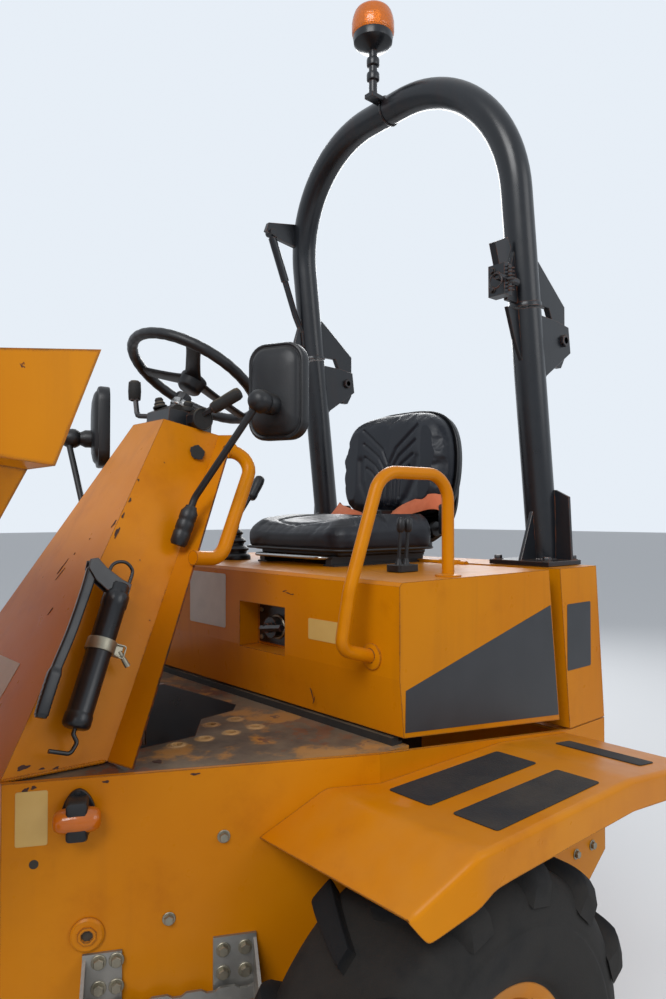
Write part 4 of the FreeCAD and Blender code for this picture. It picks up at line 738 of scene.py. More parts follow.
# %% Tyre and rim profiles
AXLE_Z = 0.422
TRACK_HALF = 0.755
TYRE_TOP = 0.422
LUGS = 13
CARCASS = [(0.191, 0.098), (0.197, 0.108), (0.212, 0.115), (0.222, 0.124), (0.240, 0.133), (0.270, 0.141),
           (0.300, 0.1435), (0.312, 0.1438), (0.318, 0.1412), (0.338, 0.138), (0.362, 0.129),
           (0.382, 0.113), (0.391, 0.092), (0.395, 0.060), (0.3965, 0.0)]
RIM = [(0.0, 0.0700), (0.0130, 0.0700), (0.0160, 0.0670), (0.0160, 0.0580), (0.0500, 0.0580),
       (0.0580, 0.0530), (0.0600, 0.0440), (0.0610, 0.0250), (0.0700, 0.0222), (0.1450, 0.0220),
       (0.1620, 0.0270), (0.1710, 0.0380), (0.1740, 0.0520), (0.1745, 0.0930), (0.1790, 0.1040),
       (0.1900, 0.1090), (0.2030, 0.1125), (0.2080, 0.1138), (0.2100, 0.1120), (0.2070, 0.1060),
       (0.1950, 0.1020), (0.1905, 0.0960), (0.1900, -0.1000), (0.1860, -0.1040), (0.1760, -0.1040),
       (0.1740, -0.1000), (0.1735, 0.0000), (0.1680, 0.0080), (0.1500, 0.0100), (0.0620, 0.0100),
       (0.0600, -0.0880), (0.0560, -0.0900), (0.0, -0.0900)]


def lug_rows(side):
    """One row of lugs: a rounded section carried out and over the shoulder, copied round the tyre."""
    out = np.linspace(0, 1, 15)
    across = -0.006 + 0.1475 * out
    lead = 0.086 * out ** 1.1
    half = 0.0175 + 0.0115 * out
    high = np.interp(across, [0.0, 0.105, 0.122, 0.135, 0.1415],
                     [TYRE_TOP, TYRE_TOP - 0.001, 0.417, 0.403, 0.386])
    foot = np.interp(across, [0.0, 0.09, 0.115, 0.1415], [0.386, 0.382, 0.368, 0.345])
    half_section = np.array([(0.3, 1.0), (0.80, 1.0), (0.94, 0.96), (1.04, 0.80), (1.16, 0.35), (1.28, 0.0)])
    share = np.concatenate([half_section[::-1] * (-1, 1), half_section])
    radius = foot[:, None] + (high - foot)[:, None] * share[:, 1]
    swell = 1 - 0.1 * np.abs(np.linspace(-1, 1, 15)[:, None]) ** 8
    angle = (lead[:, None] + half[:, None] * share[:, 0] * swell) / TYRE_TOP
    first = math.radians(-90) + 0.015 / TYRE_TOP
    surfaces = []
    for i in range(LUGS):
        turn = angle + first - 2 * math.pi / LUGS * (i + (0.5 if side > 0 else 0.0))
        beside = np.broadcast_to(side * across[:, None], radius.shape)
        surfaces.append(grid(np.stack([radius * np.cos(turn), beside, radius * np.sin(turn)], 2)))
    return surfaces


def tyre_surfaces(mirror):
    """Carcass with its rim guard and ribs, and both rows of lugs, about the wheel's own axis."""
    half = flowing(CARCASS, 60)
    ribs = sum(0.0008 * np.exp(-((half[:, 0] - rib) / 0.0016) ** 2) for rib in (0.256, 0.328))
    half[:, 1] = np.minimum(half[:, 1] + ribs, 0.1438)
    outline = np.concatenate([half, (half * (1, -1))[-2::-1]])
    surfaces = [lathe(outline, 144, axis=SIDE, closed=True)] + lug_rows(1) + lug_rows(-1)
    return [flipped(s) for s in surfaces] if mirror else surfaces


def nut(place, axis, radius=0.011, height=0.009, washer=1.35):
    """A hexagon head with a crowned top on a round washer."""
    along = unit(axis)
    base = lathe([(radius * washer, 0.0), (radius * washer, 0.0016), (radius * washer * 0.94, 0.0022),
                  (radius * 0.5, 0.0022)], 18, place, along)
    head = lathe([(radius, 0.002), (radius, 0.002 + height * 0.8), (radius * 0.88, 0.002 + height),
                  (radius * 0.3, 0.002 + height)], 6, place, along)
    return [base, head]


WHEEL_NUTS = 6
AXLES = (("rear", -1.000), ("front", 0.850))
for end, axle_x in AXLES:
    for side_name, side in (("left", 1), ("right", -1)):
        middle = np.array((axle_x, side * TRACK_HALF, AXLE_Z))
        body = "%s_%s_wheel" % (end, side_name)
        tyre = piece("tyre_%s_%s" % (end, side_name),
                     [(p + middle, f) for p, f in tyre_surfaces(side < 0)], tyre_rubber, body,
                     ["%s_%s_tyre" % (end, side_name)], crease=40)
        from_axle = points_of(tyre) - middle
        reach = np.hypot(from_axle[:, 0], from_axle[:, 2])
        wear = tyre.data.attributes.new("wear", "FLOAT", "POINT")
        wear.data.foreach_set("value", np.clip((reach - 0.398) / 0.02, 0, 1).astype(np.float32))
        rim = [lathe(RIM, 72, axis=SIDE),
               tube([(0.0, 0.056, -0.162), (0.0, 0.072, -0.158), (0.0, 0.086, -0.150)],
                    [0.0055, 0.004, 0.004], 10),
               lathe([(0.0, 0.0), (0.009, 0.0), (0.009, 0.006), (0.0, 0.007)], 12, (0, 0.058, 0.036), SIDE)]
        for turn in angles(WHEEL_NUTS) + math.radians(15):
            spot = (0.108 * math.cos(turn), 0.022, 0.108 * math.sin(turn))
            rim += nut(spot, SIDE, 0.0125, 0.011)
            rim.append(lathe([(0.0055, 0.012), (0.0055, 0.026), (0.0, 0.027)], 10, spot, SIDE))
        if side < 0:
            rim = [flipped(s) for s in rim]
        piece("rim_%s_%s" % (end, side_name), [(p + middle, f) for p, f in rim], wheel_yellow, body,
              ["%s_%s_rim" % (end, side_name)])

# %% Axles
# Radius and station of the beam's right half; the left half is its mirror image
AXLE = np.array([(0.0, -0.612), (0.058, -0.612), (0.060, -0.606), (0.060, -0.604), (0.084, -0.604),
                 (0.086, -0.600), (0.086, -0.582), (0.082, -0.578), (0.056, -0.570), (0.050, -0.556),
                 (0.050, -0.300), (0.056, -0.286), (0.062, -0.276), (0.062, -0.150), (0.078, -0.120),
                 (0.098, -0.095), (0.104, -0.080)])
AXLE_BOLTS = 8
axle_outline = np.concatenate([AXLE, (AXLE * (1, -1))[::-1]])
for end, axle_x in AXLES:
    surfaces = [lathe(axle_outline, 40, (axle_x, 0, AXLE_Z), SIDE)]
    for side in (-1, 1):
        for turn in angles(AXLE_BOLTS) + math.pi / AXLE_BOLTS:
            spot = (axle_x + 0.073 * math.cos(turn), side * 0.579, AXLE_Z + 0.073 * math.sin(turn))
            surfaces += nut(spot, -side * SIDE, 0.007, 0.006, 1.2)
    piece("axle_" + end, surfaces, yellow, end + "_frame", [end + "_axle"])

# %% [markdown]
# ## Roll-over hoop, rails and steps
#
# Bent round bars are sections carried along straight runs and arcs. The hoop folds back about two
# pins behind its legs, and a latch holds it upright.

# %% Hoop and its posts
HOOP_HALF = 0.461
HOOP_RADIUS = 0.043
HOOP_BEND = 0.390
HOOP_SLOPE = math.tan(math.radians(6.8))
HOOP_JOINT = 2.016
HOOP_TOP = 2.728
FOLD = (-1.835, 1.945)
COVER_TOP = 1.306
REAR_TOP_X = -1.812


def hoop_x(z):
    """Station of the leaning hoop's centre line at a height."""
    return -1.775 + (z - COVER_TOP) * HOOP_SLOPE


low, high = HOOP_JOINT + 0.003, HOOP_TOP
hoop_line = bar_path([(hoop_x(low), HOOP_HALF, low), (hoop_x(high), HOOP_HALF, high),
                      (hoop_x(high), -HOOP_HALF, high), (hoop_x(low), -HOOP_HALF, low)],
                     [HOOP_BEND, HOOP_BEND], 24)
surfaces = [tube(hoop_line, HOOP_RADIUS, 32)]
z = FOLD[1]
eye_plate = [(hoop_x(z + 0.245), z + 0.250), (hoop_x(z + 0.220) - 0.062, z + 0.222),
             (FOLD[0] - 0.044, z + 0.110), (FOLD[0] - 0.044, z - 0.040), (FOLD[0] - 0.024, z - 0.072),
             (FOLD[0], z - 0.072),
             (FOLD[0] + 0.020, z - 0.024), (FOLD[0] + 0.024, z + 0.060), (FOLD[0] + 0.040, z + 0.092),
             (hoop_x(z + 0.092), z + 0.092)]
gusset = [(hoop_x(low + 0.006), low + 0.005), (hoop_x(low + 0.006) + 0.092, low + 0.005),
          (hoop_x(low + 0.040) + 0.088, low + 0.044), (hoop_x(low + 0.150) + 0.040, low + 0.150),
          (hoop_x(low + 0.150), low + 0.170)]
surfaces += both(plate(eye_plate, HOOP_HALF - 0.009, HOOP_HALF + 0.009),
                 plate(gusset, HOOP_HALF - 0.006, HOOP_HALF + 0.006))
foot_ring = [(0.0, 0.0), (0.046, 0.0), (0.046, 0.009), (0.0445, 0.012), (0.0, 0.012)]
surfaces += both(lathe(foot_ring, 32, (hoop_x(low), HOOP_HALF, low), (HOOP_SLOPE, 0, 1.0)))
piece("hoop", surfaces, black, "hoop", ["rops_hoop"])

post_low = COVER_TOP + 0.012
post = tube([(hoop_x(post_low), HOOP_HALF, post_low), (hoop_x(1.6), HOOP_HALF, 1.6),
             (hoop_x(HOOP_JOINT - 0.003), HOOP_HALF, HOOP_JOINT - 0.003)], HOOP_RADIUS, 32)
foot_plate = plate(box(REAR_TOP_X + 0.002, -1.650, HOOP_HALF - 0.095, HOOP_HALF + 0.095),
                   COVER_TOP + 0.001, COVER_TOP + 0.014, FLAT)
start = COVER_TOP + 0.012
side_gusset = plate([(HOOP_HALF + 0.030, start), (HOOP_HALF + 0.092, start),
                     (HOOP_HALF + 0.084, start + 0.176), (HOOP_HALF + 0.044, start + 0.196),
                     (HOOP_HALF + 0.030, start + 0.196)],
                    hoop_x(start) - 0.004, hoop_x(start) + 0.006, FACING)
front_gusset = plate([(hoop_x(start) + 0.030, start), (-1.656, start),
                      (hoop_x(start + 0.160) + 0.030, start + 0.160)],
                     HOOP_HALF - 0.005, HOOP_HALF + 0.005)
lug = [(hoop_x(z - 0.150), z - 0.150), (hoop_x(z - 0.110) - 0.040, z - 0.110), (FOLD[0] - 0.040, z - 0.030),
       (FOLD[0] - 0.030, z + 0.044), (FOLD[0] + 0.030, z + 0.052), (hoop_x(z + 0.056), z + 0.056)]
latch_plate = plate([(hoop_x(z - 0.150), z - 0.158), (hoop_x(z - 0.060) + 0.070, z - 0.030),
                     (hoop_x(z + 0.060) + 0.092, z + 0.062), (hoop_x(z + 0.070), z + 0.062)],
                    HOOP_HALF - 0.006, HOOP_HALF + 0.006)
surfaces = both(post, foot_plate, side_gusset, front_gusset, latch_plate,
                *[plate(lug, HOOP_HALF + offset, HOOP_HALF + offset + 0.008) for offset in (0.022, -0.030)])
FOLD_PIN = [(0.0, 0.0), (0.0095, 0.0), (0.010, 0.001), (0.010, 0.079), (0.0095, 0.080), (0.0, 0.080)]
for side in (-1, 1):
    surfaces.append(lathe(FOLD_PIN, 20, (FOLD[0], side * HOOP_HALF - 0.040, z), SIDE))
    for edge in (-0.040, 0.031):
        surfaces.append(lathe([(0.0, 0.0), (0.017, 0.0), (0.018, 0.002), (0.018, 0.007), (0.017, 0.009),
                               (0.0, 0.009)], 6, (FOLD[0], side * HOOP_HALF + edge, z), SIDE))
    for x, y in box(-1.795, -1.668, -0.078, 0.078):
        surfaces += nut((x, side * HOOP_HALF + y, COVER_TOP + 0.014), UP, 0.011, 0.010)
piece("hoop_posts", surfaces, black, "rear_frame", ["rops_base"])

# %% Rails on the cover and the tower
loop_rail = bar_path([(-1.0375, 0.520, 1.1455), (-0.945, 0.520, 1.170), (-0.960, 0.530, 1.290),
                      (-1.040, 0.540, 1.535), (-1.235, 0.560, 1.535), (-1.235, 0.560, 1.3035)],
                     [0.030, 0.120, 0.060, 0.060])
rail_foot = lathe([(0.0, 0.0), (0.030, 0.0), (0.030, 0.004), (0.018, 0.007), (0.014, 0.007), (0.014, 0.012),
                   (0.0, 0.012)], 24, (-1.235, 0.560, COVER_TOP), UP)
rail_front = lathe([(0.0, 0.0), (0.028, 0.0), (0.028, 0.004), (0.018, 0.007), (0.0, 0.007)], 24,
                   (-1.035, 0.520, 1.146), AHEAD)
piece("cover_loops", both(tube(loop_rail, 0.014, 20), rail_foot, rail_front), yellow, "cover",
      ["cover_rails"])
tower_bar = bar_path([(-0.925, 0.168, 1.598), (-0.985, 0.176, 1.612), (-0.843, 0.234, 1.346),
                      (-0.764, 0.247, 1.352)], [0.042, 0.052])
piece("tower_loops", both(tube(tower_bar, 0.016, 20)), yellow, "rear_frame", ["tower_rails"])

# %% Steering wheel, its nut cap and finger waves
WHEEL_LEAN = math.radians(31)
column = np.array((-math.sin(WHEEL_LEAN), 0, math.cos(WHEEL_LEAN)))
WHEEL_HUB = np.array((-0.902, 0, 1.773))
wheel_middle = WHEEL_HUB + 0.021 * column
turn = angles(120)
first = np.array((math.cos(WHEEL_LEAN), 0, math.sin(WHEEL_LEAN)))
ring = wheel_middle + 0.172 * (np.cos(turn)[:, None] * first + np.sin(turn)[:, None] * SIDE)
grip = 0.0136 - 0.0007 * (0.5 + 0.5 * np.cos(turn * 36)) ** 3
surfaces = [tube(ring, grip, 18, closed=True)]
hub_profile = [(0.0, -0.036), (0.026, -0.036), (0.030, -0.032), (0.033, -0.010), (0.035, -0.004),
               (0.0345, 0.0005), (0.031, 0.002), (0.020, 0.0025), (0.0125, 0.006), (0.006, 0.0078),
               (0.0, 0.008)]
surfaces.append(lathe(hub_profile, 40, wheel_middle, column))
for degrees in (55, 175, 295):
    heading = math.cos(math.radians(degrees)) * first + math.sin(math.radians(degrees)) * SIDE
    across = np.cross(column, heading)
    along = np.linspace(0, 1, 12)
    centre = (wheel_middle + (0.024 + 0.138 * along)[:, None] * heading
              + (-0.007 + 0.004 * along ** 2)[:, None] * column)
    half = 0.0205 - 0.0035 * along + 0.003 * np.abs(2 * along - 1) ** 4
    surfaces.append(swept(centre, rounded(1.0, 1.0, 0.7, 3), across, column, half, 0.0052))
piece("hand_wheel", surfaces, plastic, "steering_wheel", ["steering_wheel"], crease=50)

# %% Beacon
BEACON_X, BEACON_Y, BEACON_FOOT = hoop_x(HOOP_TOP) + HOOP_RADIUS + 0.028, 0.018, HOOP_TOP + 0.019
DOME_LOW, DOME_TOP = 0.188, 0.2838
stem = [(0.0, 0.004), (0.013, 0.004), (0.013, 0.046), (0.019, 0.050), (0.020, 0.054), (0.020, 0.068),
        (0.019, 0.072), (0.013, 0.076), (0.013, 0.092), (0.019, 0.096), (0.020, 0.100), (0.020, 0.114),
        (0.019, 0.118), (0.013, 0.122), (0.013, 0.142), (0.022, 0.146), (0.050, 0.158), (0.060, 0.168),
        (0.0625, 0.186), (0.0615, 0.190), (0.0, 0.190)]
place = (BEACON_X, BEACON_Y, BEACON_FOOT)
clamp_low = plate(box(BEACON_X - 0.036, BEACON_X + 0.020, BEACON_Y - 0.017, BEACON_Y + 0.017),
                  BEACON_FOOT - 0.009, BEACON_FOOT + 0.006, FLAT)
clamp_ring = tube([(hoop_x(HOOP_TOP) + 0.0445 * math.cos(t), BEACON_Y, HOOP_TOP + 0.0445 * math.sin(t))
                   for t in angles(48)], 0.003, 8, closed=True)
piece("beacon_base", [lathe(stem, 40, place), clamp_low, clamp_ring], black, "hoop",
      ["beacon"])
# The dome's wall carries fine rings, which fade out at its crown
dome = flowing([(0.061, DOME_LOW), (0.0655, 0.200), (0.066, 0.226), (0.061, 0.250), (0.052, 0.268),
                (0.030, 0.280), (0.001, DOME_TOP)], 44)
dome[:, 0] += 0.0007 * np.cos(np.linspace(0, 34 * math.pi, 44)) * (dome[:, 0] > 0.05)
dome[:, 0] = np.minimum(dome[:, 0], 0.0662)
dome = np.concatenate([[(0.0, DOME_LOW)], dome, [(0.0, DOME_TOP)]])
piece("beacon_dome", [lathe(dome, 56, place)], amber, "hoop", crease=60)

# %% [markdown]
# ## Mudguards
#
# A mudguard is one folded sheet. Its top rises from a low front edge, runs level and falls to the
# rear, and its outer edge is turned down. Here it is a grid: one direction follows the fold line
# from front to rear, the other crosses the sheet and bends down a round edge. A wall is added inward.

# %% Folded mudguard
# The side plates run out from the articulation at the flare's angle
FLARE = math.atan2(0.320, 0.612)
PLATE_X, PLATE_Y = -0.365, 0.280
GUARD_SHEET = 0.005
GUARD_EDGE = 0.012
GUARD_FRONT, GUARD_LIP_Z = -0.766, 0.836
GUARD_REAR, GUARD_REAR_Z = -1.655, 0.883
GUARD_TOP = 0.917
GUARD_FLAT_REAR = -1.372
GUARD_OUT, GUARD_LIP_OUT = 0.920, 0.872


def side_plate_y(x):
    """How far out the left side plate stands at a station."""
    return PLATE_Y + (PLATE_X - x) * math.tan(FLARE)


def soft_greater(a, b, width):
    """The greater of two heights, with the corner between them rounded."""
    return 0.5 * (a + b + np.sqrt((a - b) ** 2 + width ** 2))


def guard_sheet():
    """Rows across the sheet at stations x: inner edge, round outer fold, and down to the lower edge."""
    line = bar_path([(GUARD_FRONT, 0, GUARD_LIP_Z), (-0.880, 0, GUARD_TOP), (GUARD_FLAT_REAR, 0, GUARD_TOP),
                     (GUARD_REAR, 0, GUARD_REAR_Z)], [0.030, 0.060], 8)
    reach = lengths_along(line)
    spots = np.unique(np.concatenate([np.linspace(0, 0.10, 34), np.linspace(0.10, reach[-1], 60)]))
    x, top = np.interp(spots, reach, line[:, 0]), np.interp(spots, reach, line[:, 2])
    out = np.interp(-x, [0.766, 0.872, 0.888], [GUARD_LIP_OUT, 0.9165, GUARD_OUT])
    inner = np.minimum(0.600, side_plate_y(x)) + 0.0012
    front_edge = GUARD_LIP_Z - 0.004 + (x - GUARD_FRONT) * 1.35
    rising = 0.796 - (x + 0.802) * 0.50
    level = np.interp(-x, [0.907, -GUARD_FLAT_REAR, -GUARD_REAR], [0.8515, 0.853, 0.823])
    low = -soft_greater(-soft_greater(front_edge, rising, 0.010), -level, 0.006)
    low = np.minimum(low, top - 0.003)
    bend = np.minimum(GUARD_EDGE, 0.45 * (top - low))
    turn = np.linspace(0, math.pi / 2, 7)
    across = [inner, inner + 0.35 * (out - bend - inner), inner + 0.7 * (out - bend - inner)]
    y = np.stack(across + [out - bend + bend * math.sin(t) for t in turn] + [out] * 4, 1)
    down = [(bend + (top - low - bend) * share) for share in (0.25, 0.5, 0.75, 1.0)]
    z = np.stack([top] * 3 + [top - bend + bend * math.cos(t) for t in turn] + [top - d for d in down], 1)
    return grid(np.stack([np.broadcast_to(x[:, None], y.shape), y, z], 2), wrap_columns=False, caps=False)


def walled(points, faces, wall):
    """A second skin a wall's depth inside the first, joined to it along every open edge."""
    shape = bmesh.new()
    corners = [shape.verts.new(p) for p in points]
    for face in faces:
        shape.faces.new([corners[n] for n in face])
    shape.normal_update()
    if sum(f.normal.z for f in shape.faces) < 0:
        bmesh.ops.reverse_faces(shape, faces=shape.faces)
    shape.verts.index_update()
    normals = np.array([tuple(v.normal) for v in shape.verts])
    rims = [[v.index for v in e.verts] for e in shape.edges if e.is_boundary]
    skin = [[v.index for v in f.verts] for f in shape.faces]
    shape.free()
    count = len(points)
    both_skins = np.concatenate([points, points - normals * wall])
    inner = [[n + count for n in face[::-1]] for face in skin]
    return both_skins, skin + inner + [[a, b, b + count, a + count] for a, b in rims]


guard = walled(*guard_sheet(), GUARD_SHEET)
piece("mudguards", both(guard), yellow, "rear_frame", ["fenders"], crease=40)

# %% [markdown]
# ## Seat
#
# A cushion could be carved as a hard shape, but vinyl over foam swells between its seams. So each
# cushion starts as a stack of outlines, a little small, is given a skin of even squares, and is
# blown up as cloth under a cap. One subdivision makes the squares fine enough for the sewn ribs,
# which are pressed in afterwards as narrow bell-shaped grooves.

# %% Cushions blown up as cloth
SEAT_BACK_X, SEAT_FRONT_X, SEAT_HALF = -1.605, -1.207, 0.231
CUSHION_VOXEL = 0.006
CLOTH_FRAMES = 20
SWELL_CAP = 0.012


def applied(item, kind, **settings):
    """Adds a modifier with its settings and applies it."""
    modifier = item.modifiers.new(kind.lower(), kind)
    for key, value in settings.items():
        setattr(modifier, key, value)
    bpy.context.view_layer.objects.active = item
    bpy.ops.object.modifier_apply(modifier=modifier.name)


def blown_up(name, sections):
    """Outlines at heights, skinned with even squares, swollen under the cap and subdivided once."""
    points, faces = loft(sections)
    item = mesh_object(name, points, faces, vinyl)
    cleaned(item.data)
    applied(item, "REMESH", mode="VOXEL", voxel_size=CUSHION_VOXEL)
    before = points_of(item)
    cloth = item.modifiers.new("cloth", "CLOTH")
    cloth.settings.use_pressure = True
    cloth.settings.uniform_pressure_force = 4.0
    cloth.settings.effector_weights.gravity = 0
    cloth.settings.quality = 6
    for number in range(1, CLOTH_FRAMES + 1):
        bpy.context.scene.frame_set(number)
    bpy.context.view_layer.objects.active = item
    bpy.ops.object.modifier_apply(modifier=cloth.name)
    bpy.context.scene.frame_set(1)
    move = points_of(item) - before
    far = np.linalg.norm(move, axis=1)[:, None]
    capped = before + move * np.minimum(1.0, SWELL_CAP / np.maximum(far, 1e-9))
    item.data.vertices.foreach_set("co", capped.ravel())
    applied(item, "SUBSURF", levels=1, render_levels=1)
    return item, points_of(item)


def turned(points, place, tilt):
    """Points turned about Y by an angle and carried to their place."""
    angle = math.radians(tilt)
    x, y, z = points.T
    return np.stack([x * math.cos(angle) + z * math.sin(angle), y,
                     -x * math.sin(angle) + z * math.cos(angle)], 1) + np.asarray(place)


def line_distance(a, b, route):
    """Shortest distance in a plane from each (a, b) to a run of straight segments."""
    best = np.full(len(a), 9.0)
    for start, end in zip(np.array(route[:-1]), np.array(route[1:])):
        run = end - start
        share = np.clip(((a - start[0]) * run[0] + (b - start[1]) * run[1]) / run.dot(run), 0, 1)
        best = np.minimum(best, np.hypot(a - start[0] - share * run[0], b - start[1] - share * run[1]))
    return best


def pressed(points, top, grooves):
    """The upper face sinks by depth * exp(-(distance / width) squared) along each groove's line."""
    sunk = points.copy()
    facing_up = np.clip((points[:, 2] - top * 0.45) / (top * 0.3), 0, 1)
    for route, depth, width in grooves:
        away = line_distance(points[:, 0], np.abs(points[:, 1]), route)
        sunk[:, 2] -= depth * facing_up * np.exp(-(away / width) ** 2)
    return sunk


def bolstered(points, top, half_y, rise):
    """The upper face rises in a soft ridge near each side and dips a little between them."""
    facing_up = np.clip((points[:, 2] - top * 0.4) / (top * 0.4), 0, 1)
    share = np.clip(np.abs(points[:, 1]) / half_y, 0, 1)
    dip = 0.4 * (share < 0.62) * (1 - share / 0.62)
    lifted = points.copy()
    lifted[:, 2] += facing_up * rise * (np.exp(-((share - 0.80) / 0.17) ** 2) - dip)
    return lifted


def settle(item, points, node):
    item.data.vertices.foreach_set("co", points.ravel())
    item.data.update()
    item.data.polygons.foreach_set("use_smooth", [True] * len(item.data.polygons))
    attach(item, "cover")
    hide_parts(node)
    report(item)


# %% Seat cushion
SEAT_PLACE = ((SEAT_BACK_X + SEAT_FRONT_X) / 2, 0, COVER_TOP + 0.061)
SEAT_TOP = 0.070
SEAT_FALL = 0.026
half_x = (SEAT_FRONT_X - SEAT_BACK_X) / 2
# Height above the tray and inset of each outline; the skirt hangs over the tray's edge
SEAT_ROWS = [(-0.021, 0.008), (-0.012, -0.001), (0.010, -0.003), (0.038, -0.002), (0.058, 0.010),
             (0.068, 0.031)]
seat, soft = blown_up("seat_pad", [
    (rounded(half_x - inset, SEAT_HALF - inset, 0.060 - inset * 0.5, 7), height)
    for height, inset in SEAT_ROWS])
soft = bolstered(soft, SEAT_TOP, SEAT_HALF, 0.009)
# Route over the plan, in length and distance from the middle, then depth and width
soft = pressed(soft, SEAT_TOP, [
    ([(-0.195, 0.128), (0.060, 0.140), (0.120, 0.128), (0.150, 0.080), (0.155, 0.0)], 0.0055, 0.006),
    ([(-0.150, 0.020), (0.080, 0.020)], 0.0025, 0.005),
    ([(-0.150, 0.055), (0.080, 0.058)], 0.0025, 0.005),
    ([(-0.150, 0.090), (0.070, 0.096)], 0.0025, 0.005)])
# The cushion's face falls towards its front edge
front_share = np.clip((soft[:, 0] + 0.100) / (half_x + 0.100), 0, 1)
soft[:, 2] -= SEAT_FALL * front_share ** 1.4 * np.clip(soft[:, 2] / SEAT_TOP, 0, 1)
soft[:, 2] = np.clip(soft[:, 2], -0.024, 0.080)
settle(seat, turned(soft, SEAT_PLACE, 0), "seat_cushion")

# %% Backrest
BACK_PLACE = (SEAT_BACK_X - 0.088, 0, COVER_TOP + 0.296)
BACK_TILT = 84.8
BACK_TOP = 0.070
# Half width at heights from the middle, from the lower edge round the shoulder to the top
BACK_SIDE = [(0.0, -0.168), (0.120, -0.166), (0.184, -0.146), (0.220, -0.098), (0.232, -0.020),
             (0.224, 0.062), (0.196, 0.122), (0.146, 0.156), (0.074, 0.169), (0.0, 0.171)]
# Height above the back shell and inset of each outline
BACK_ROWS = [(0.004, 0.007), (0.018, -0.004), (0.044, -0.003), (0.058, 0.007), (0.067, 0.026)]


def back_outline(inset):
    """The backrest seen from in front: wide below, narrower at its round shoulders."""
    side = flowing(np.column_stack([np.array(BACK_SIDE), np.zeros(len(BACK_SIDE))]), 40)[:, :2]
    loop = np.concatenate([side, side[-2:0:-1] * (-1, 1)])
    return np.column_stack([-loop[:, 1], loop[:, 0]]) * (1 - inset / 0.19)


back, soft = blown_up("seat_back_pad", [(back_outline(inset), height) for height, inset in BACK_ROWS])
soft = bolstered(soft, BACK_TOP, SEAT_HALF * 0.93, 0.010)
# Ribs stand side by side in the small of the back and fan out above it
RIBS = [
    [(0.125, 0.005), (0.000, 0.005), (-0.045, 0.030), (-0.112, 0.118)],
    [(0.128, 0.021), (0.012, 0.021), (-0.020, 0.045), (-0.066, 0.112)],
    [(0.124, 0.037), (0.030, 0.037), (0.006, 0.058), (-0.022, 0.104)],
    [(0.108, 0.053), (0.045, 0.053), (0.028, 0.070), (0.014, 0.094)],
]
hollow = [(-0.010, 0.122), (0.060, 0.114), (0.112, 0.086), (0.140, 0.040), (0.144, 0.0)]
grooves = [(route, 0.0052, 0.0050) for route in RIBS] + [(hollow, 0.0055, 0.013)]
soft = pressed(soft, BACK_TOP, grooves)
soft[:, 2] = np.clip(soft[:, 2], 0.001, 0.083)
settle(back, turned(soft, BACK_PLACE, BACK_TILT), "seat_back")

# %% Back shell, tray, pan and runners
# Station and height along the bent back shell from the tray up, then its half width
SHELL_LINE = [(-1.612, 0.054, 0.150), (-1.642, 0.058, 0.160), (-1.690, 0.094, 0.176), (-1.716, 0.140, 0.184),
              (-1.727, 0.200, 0.188), (-1.731, 0.300, 0.188), (-1.733, 0.345, 0.182), (-1.734, 0.378, 0.160),
              (-1.735, 0.396, 0.128), (-1.735, 0.404, 0.090), (-1.735, 0.406, 0.050)]
bent = flowing(SHELL_LINE, 60)
share = np.linspace(-1, 1, 25)
rows = np.stack([np.broadcast_to(bent[:, :1], (60, 25)) - 0.010 * share ** 4, bent[:, 2:] * share,
                 np.broadcast_to(COVER_TOP + bent[:, 1:2], (60, 25))], 2)
surfaces = [walled(*grid(rows, wrap_columns=False, caps=False), -0.012)]
tray, pan = rounded(0.196, 0.212, 0.045), rounded(0.176, 0.176, 0.012)
surfaces.append(plate(tray, 0.047, 0.060, FLAT, (-1.416, 0, COVER_TOP)))
surfaces.append(plate(pan, 0.026, 0.047, FLAT, (-1.424, 0, COVER_TOP), 0.004))
half_channel = [(0.022, 0.000), (0.022, 0.005), (0.012, 0.005), (0.012, 0.020), (0.016, 0.020),
                (0.016, 0.027)]
CHANNEL = half_channel + [(-a, b) for a, b in half_channel[::-1]]
for side in (-1, 1):
    surfaces.append(plate(CHANNEL, -1.600, -1.235, FACING, (0, side * 0.150, COVER_TOP), 0.0008))
piece("seat_base", surfaces, plastic, "cover", ["seat_frame"], crease=35)

# %% Backrest shell, piping and seat hardware
shell_insets = [(0.030, -0.026), (0.012, -0.022), (0.003, -0.010), (0.001, 0.006)]
points, faces = loft([(back_outline(inset), height) for inset, height in shell_insets])
surfaces = [(turned(points, BACK_PLACE, BACK_TILT), faces)]
seat_edge = rounded(half_x - 0.003, SEAT_HALF - 0.003, 0.060, 8)
for outline, height, place, tilt in ((back_outline(0.001), 0.0135, BACK_PLACE, BACK_TILT),
                                     (seat_edge, -0.017, SEAT_PLACE, 0)):
    loop = turned(np.column_stack([outline, np.full(len(outline), height)]), place, tilt)
    surfaces.append(tube(loop, 0.0036, 8, closed=True))
KNOB = [(0.0, 0.0), (0.022, 0.0), (0.024, 0.004), (0.022, 0.012), (0.0, 0.014)]
for side in (-1, 1):
    surfaces.append(lathe(KNOB, 24, (-1.650, side * 0.160, COVER_TOP + 0.096), (0, side, 0)))
piece("seat_hardware", surfaces, plastic, "cover", crease=50)
handle = bar_path([(x, y, COVER_TOP + 0.024) for x, y in
                   ((-1.300, 0.150), (-1.206, 0.150), (-1.206, -0.150), (-1.300, -0.150))], [0.02, 0.02], 6)
piece("seat_slide_bar", [tube(handle, 0.005, 12)], bright, "cover", crease=50)

# %% [markdown]
# The lap belt is one strip of webbing on each side. It leaves a plastic boot beside the backrest
# standing on its edge, turns flat and lies over the rear of the cushion as far as the buckle. Its
# surface is a thin section whose width direction turns along the line.

# %% Lap belt
BELT_WIDTH = 0.048
BELT_THICK = 0.0016
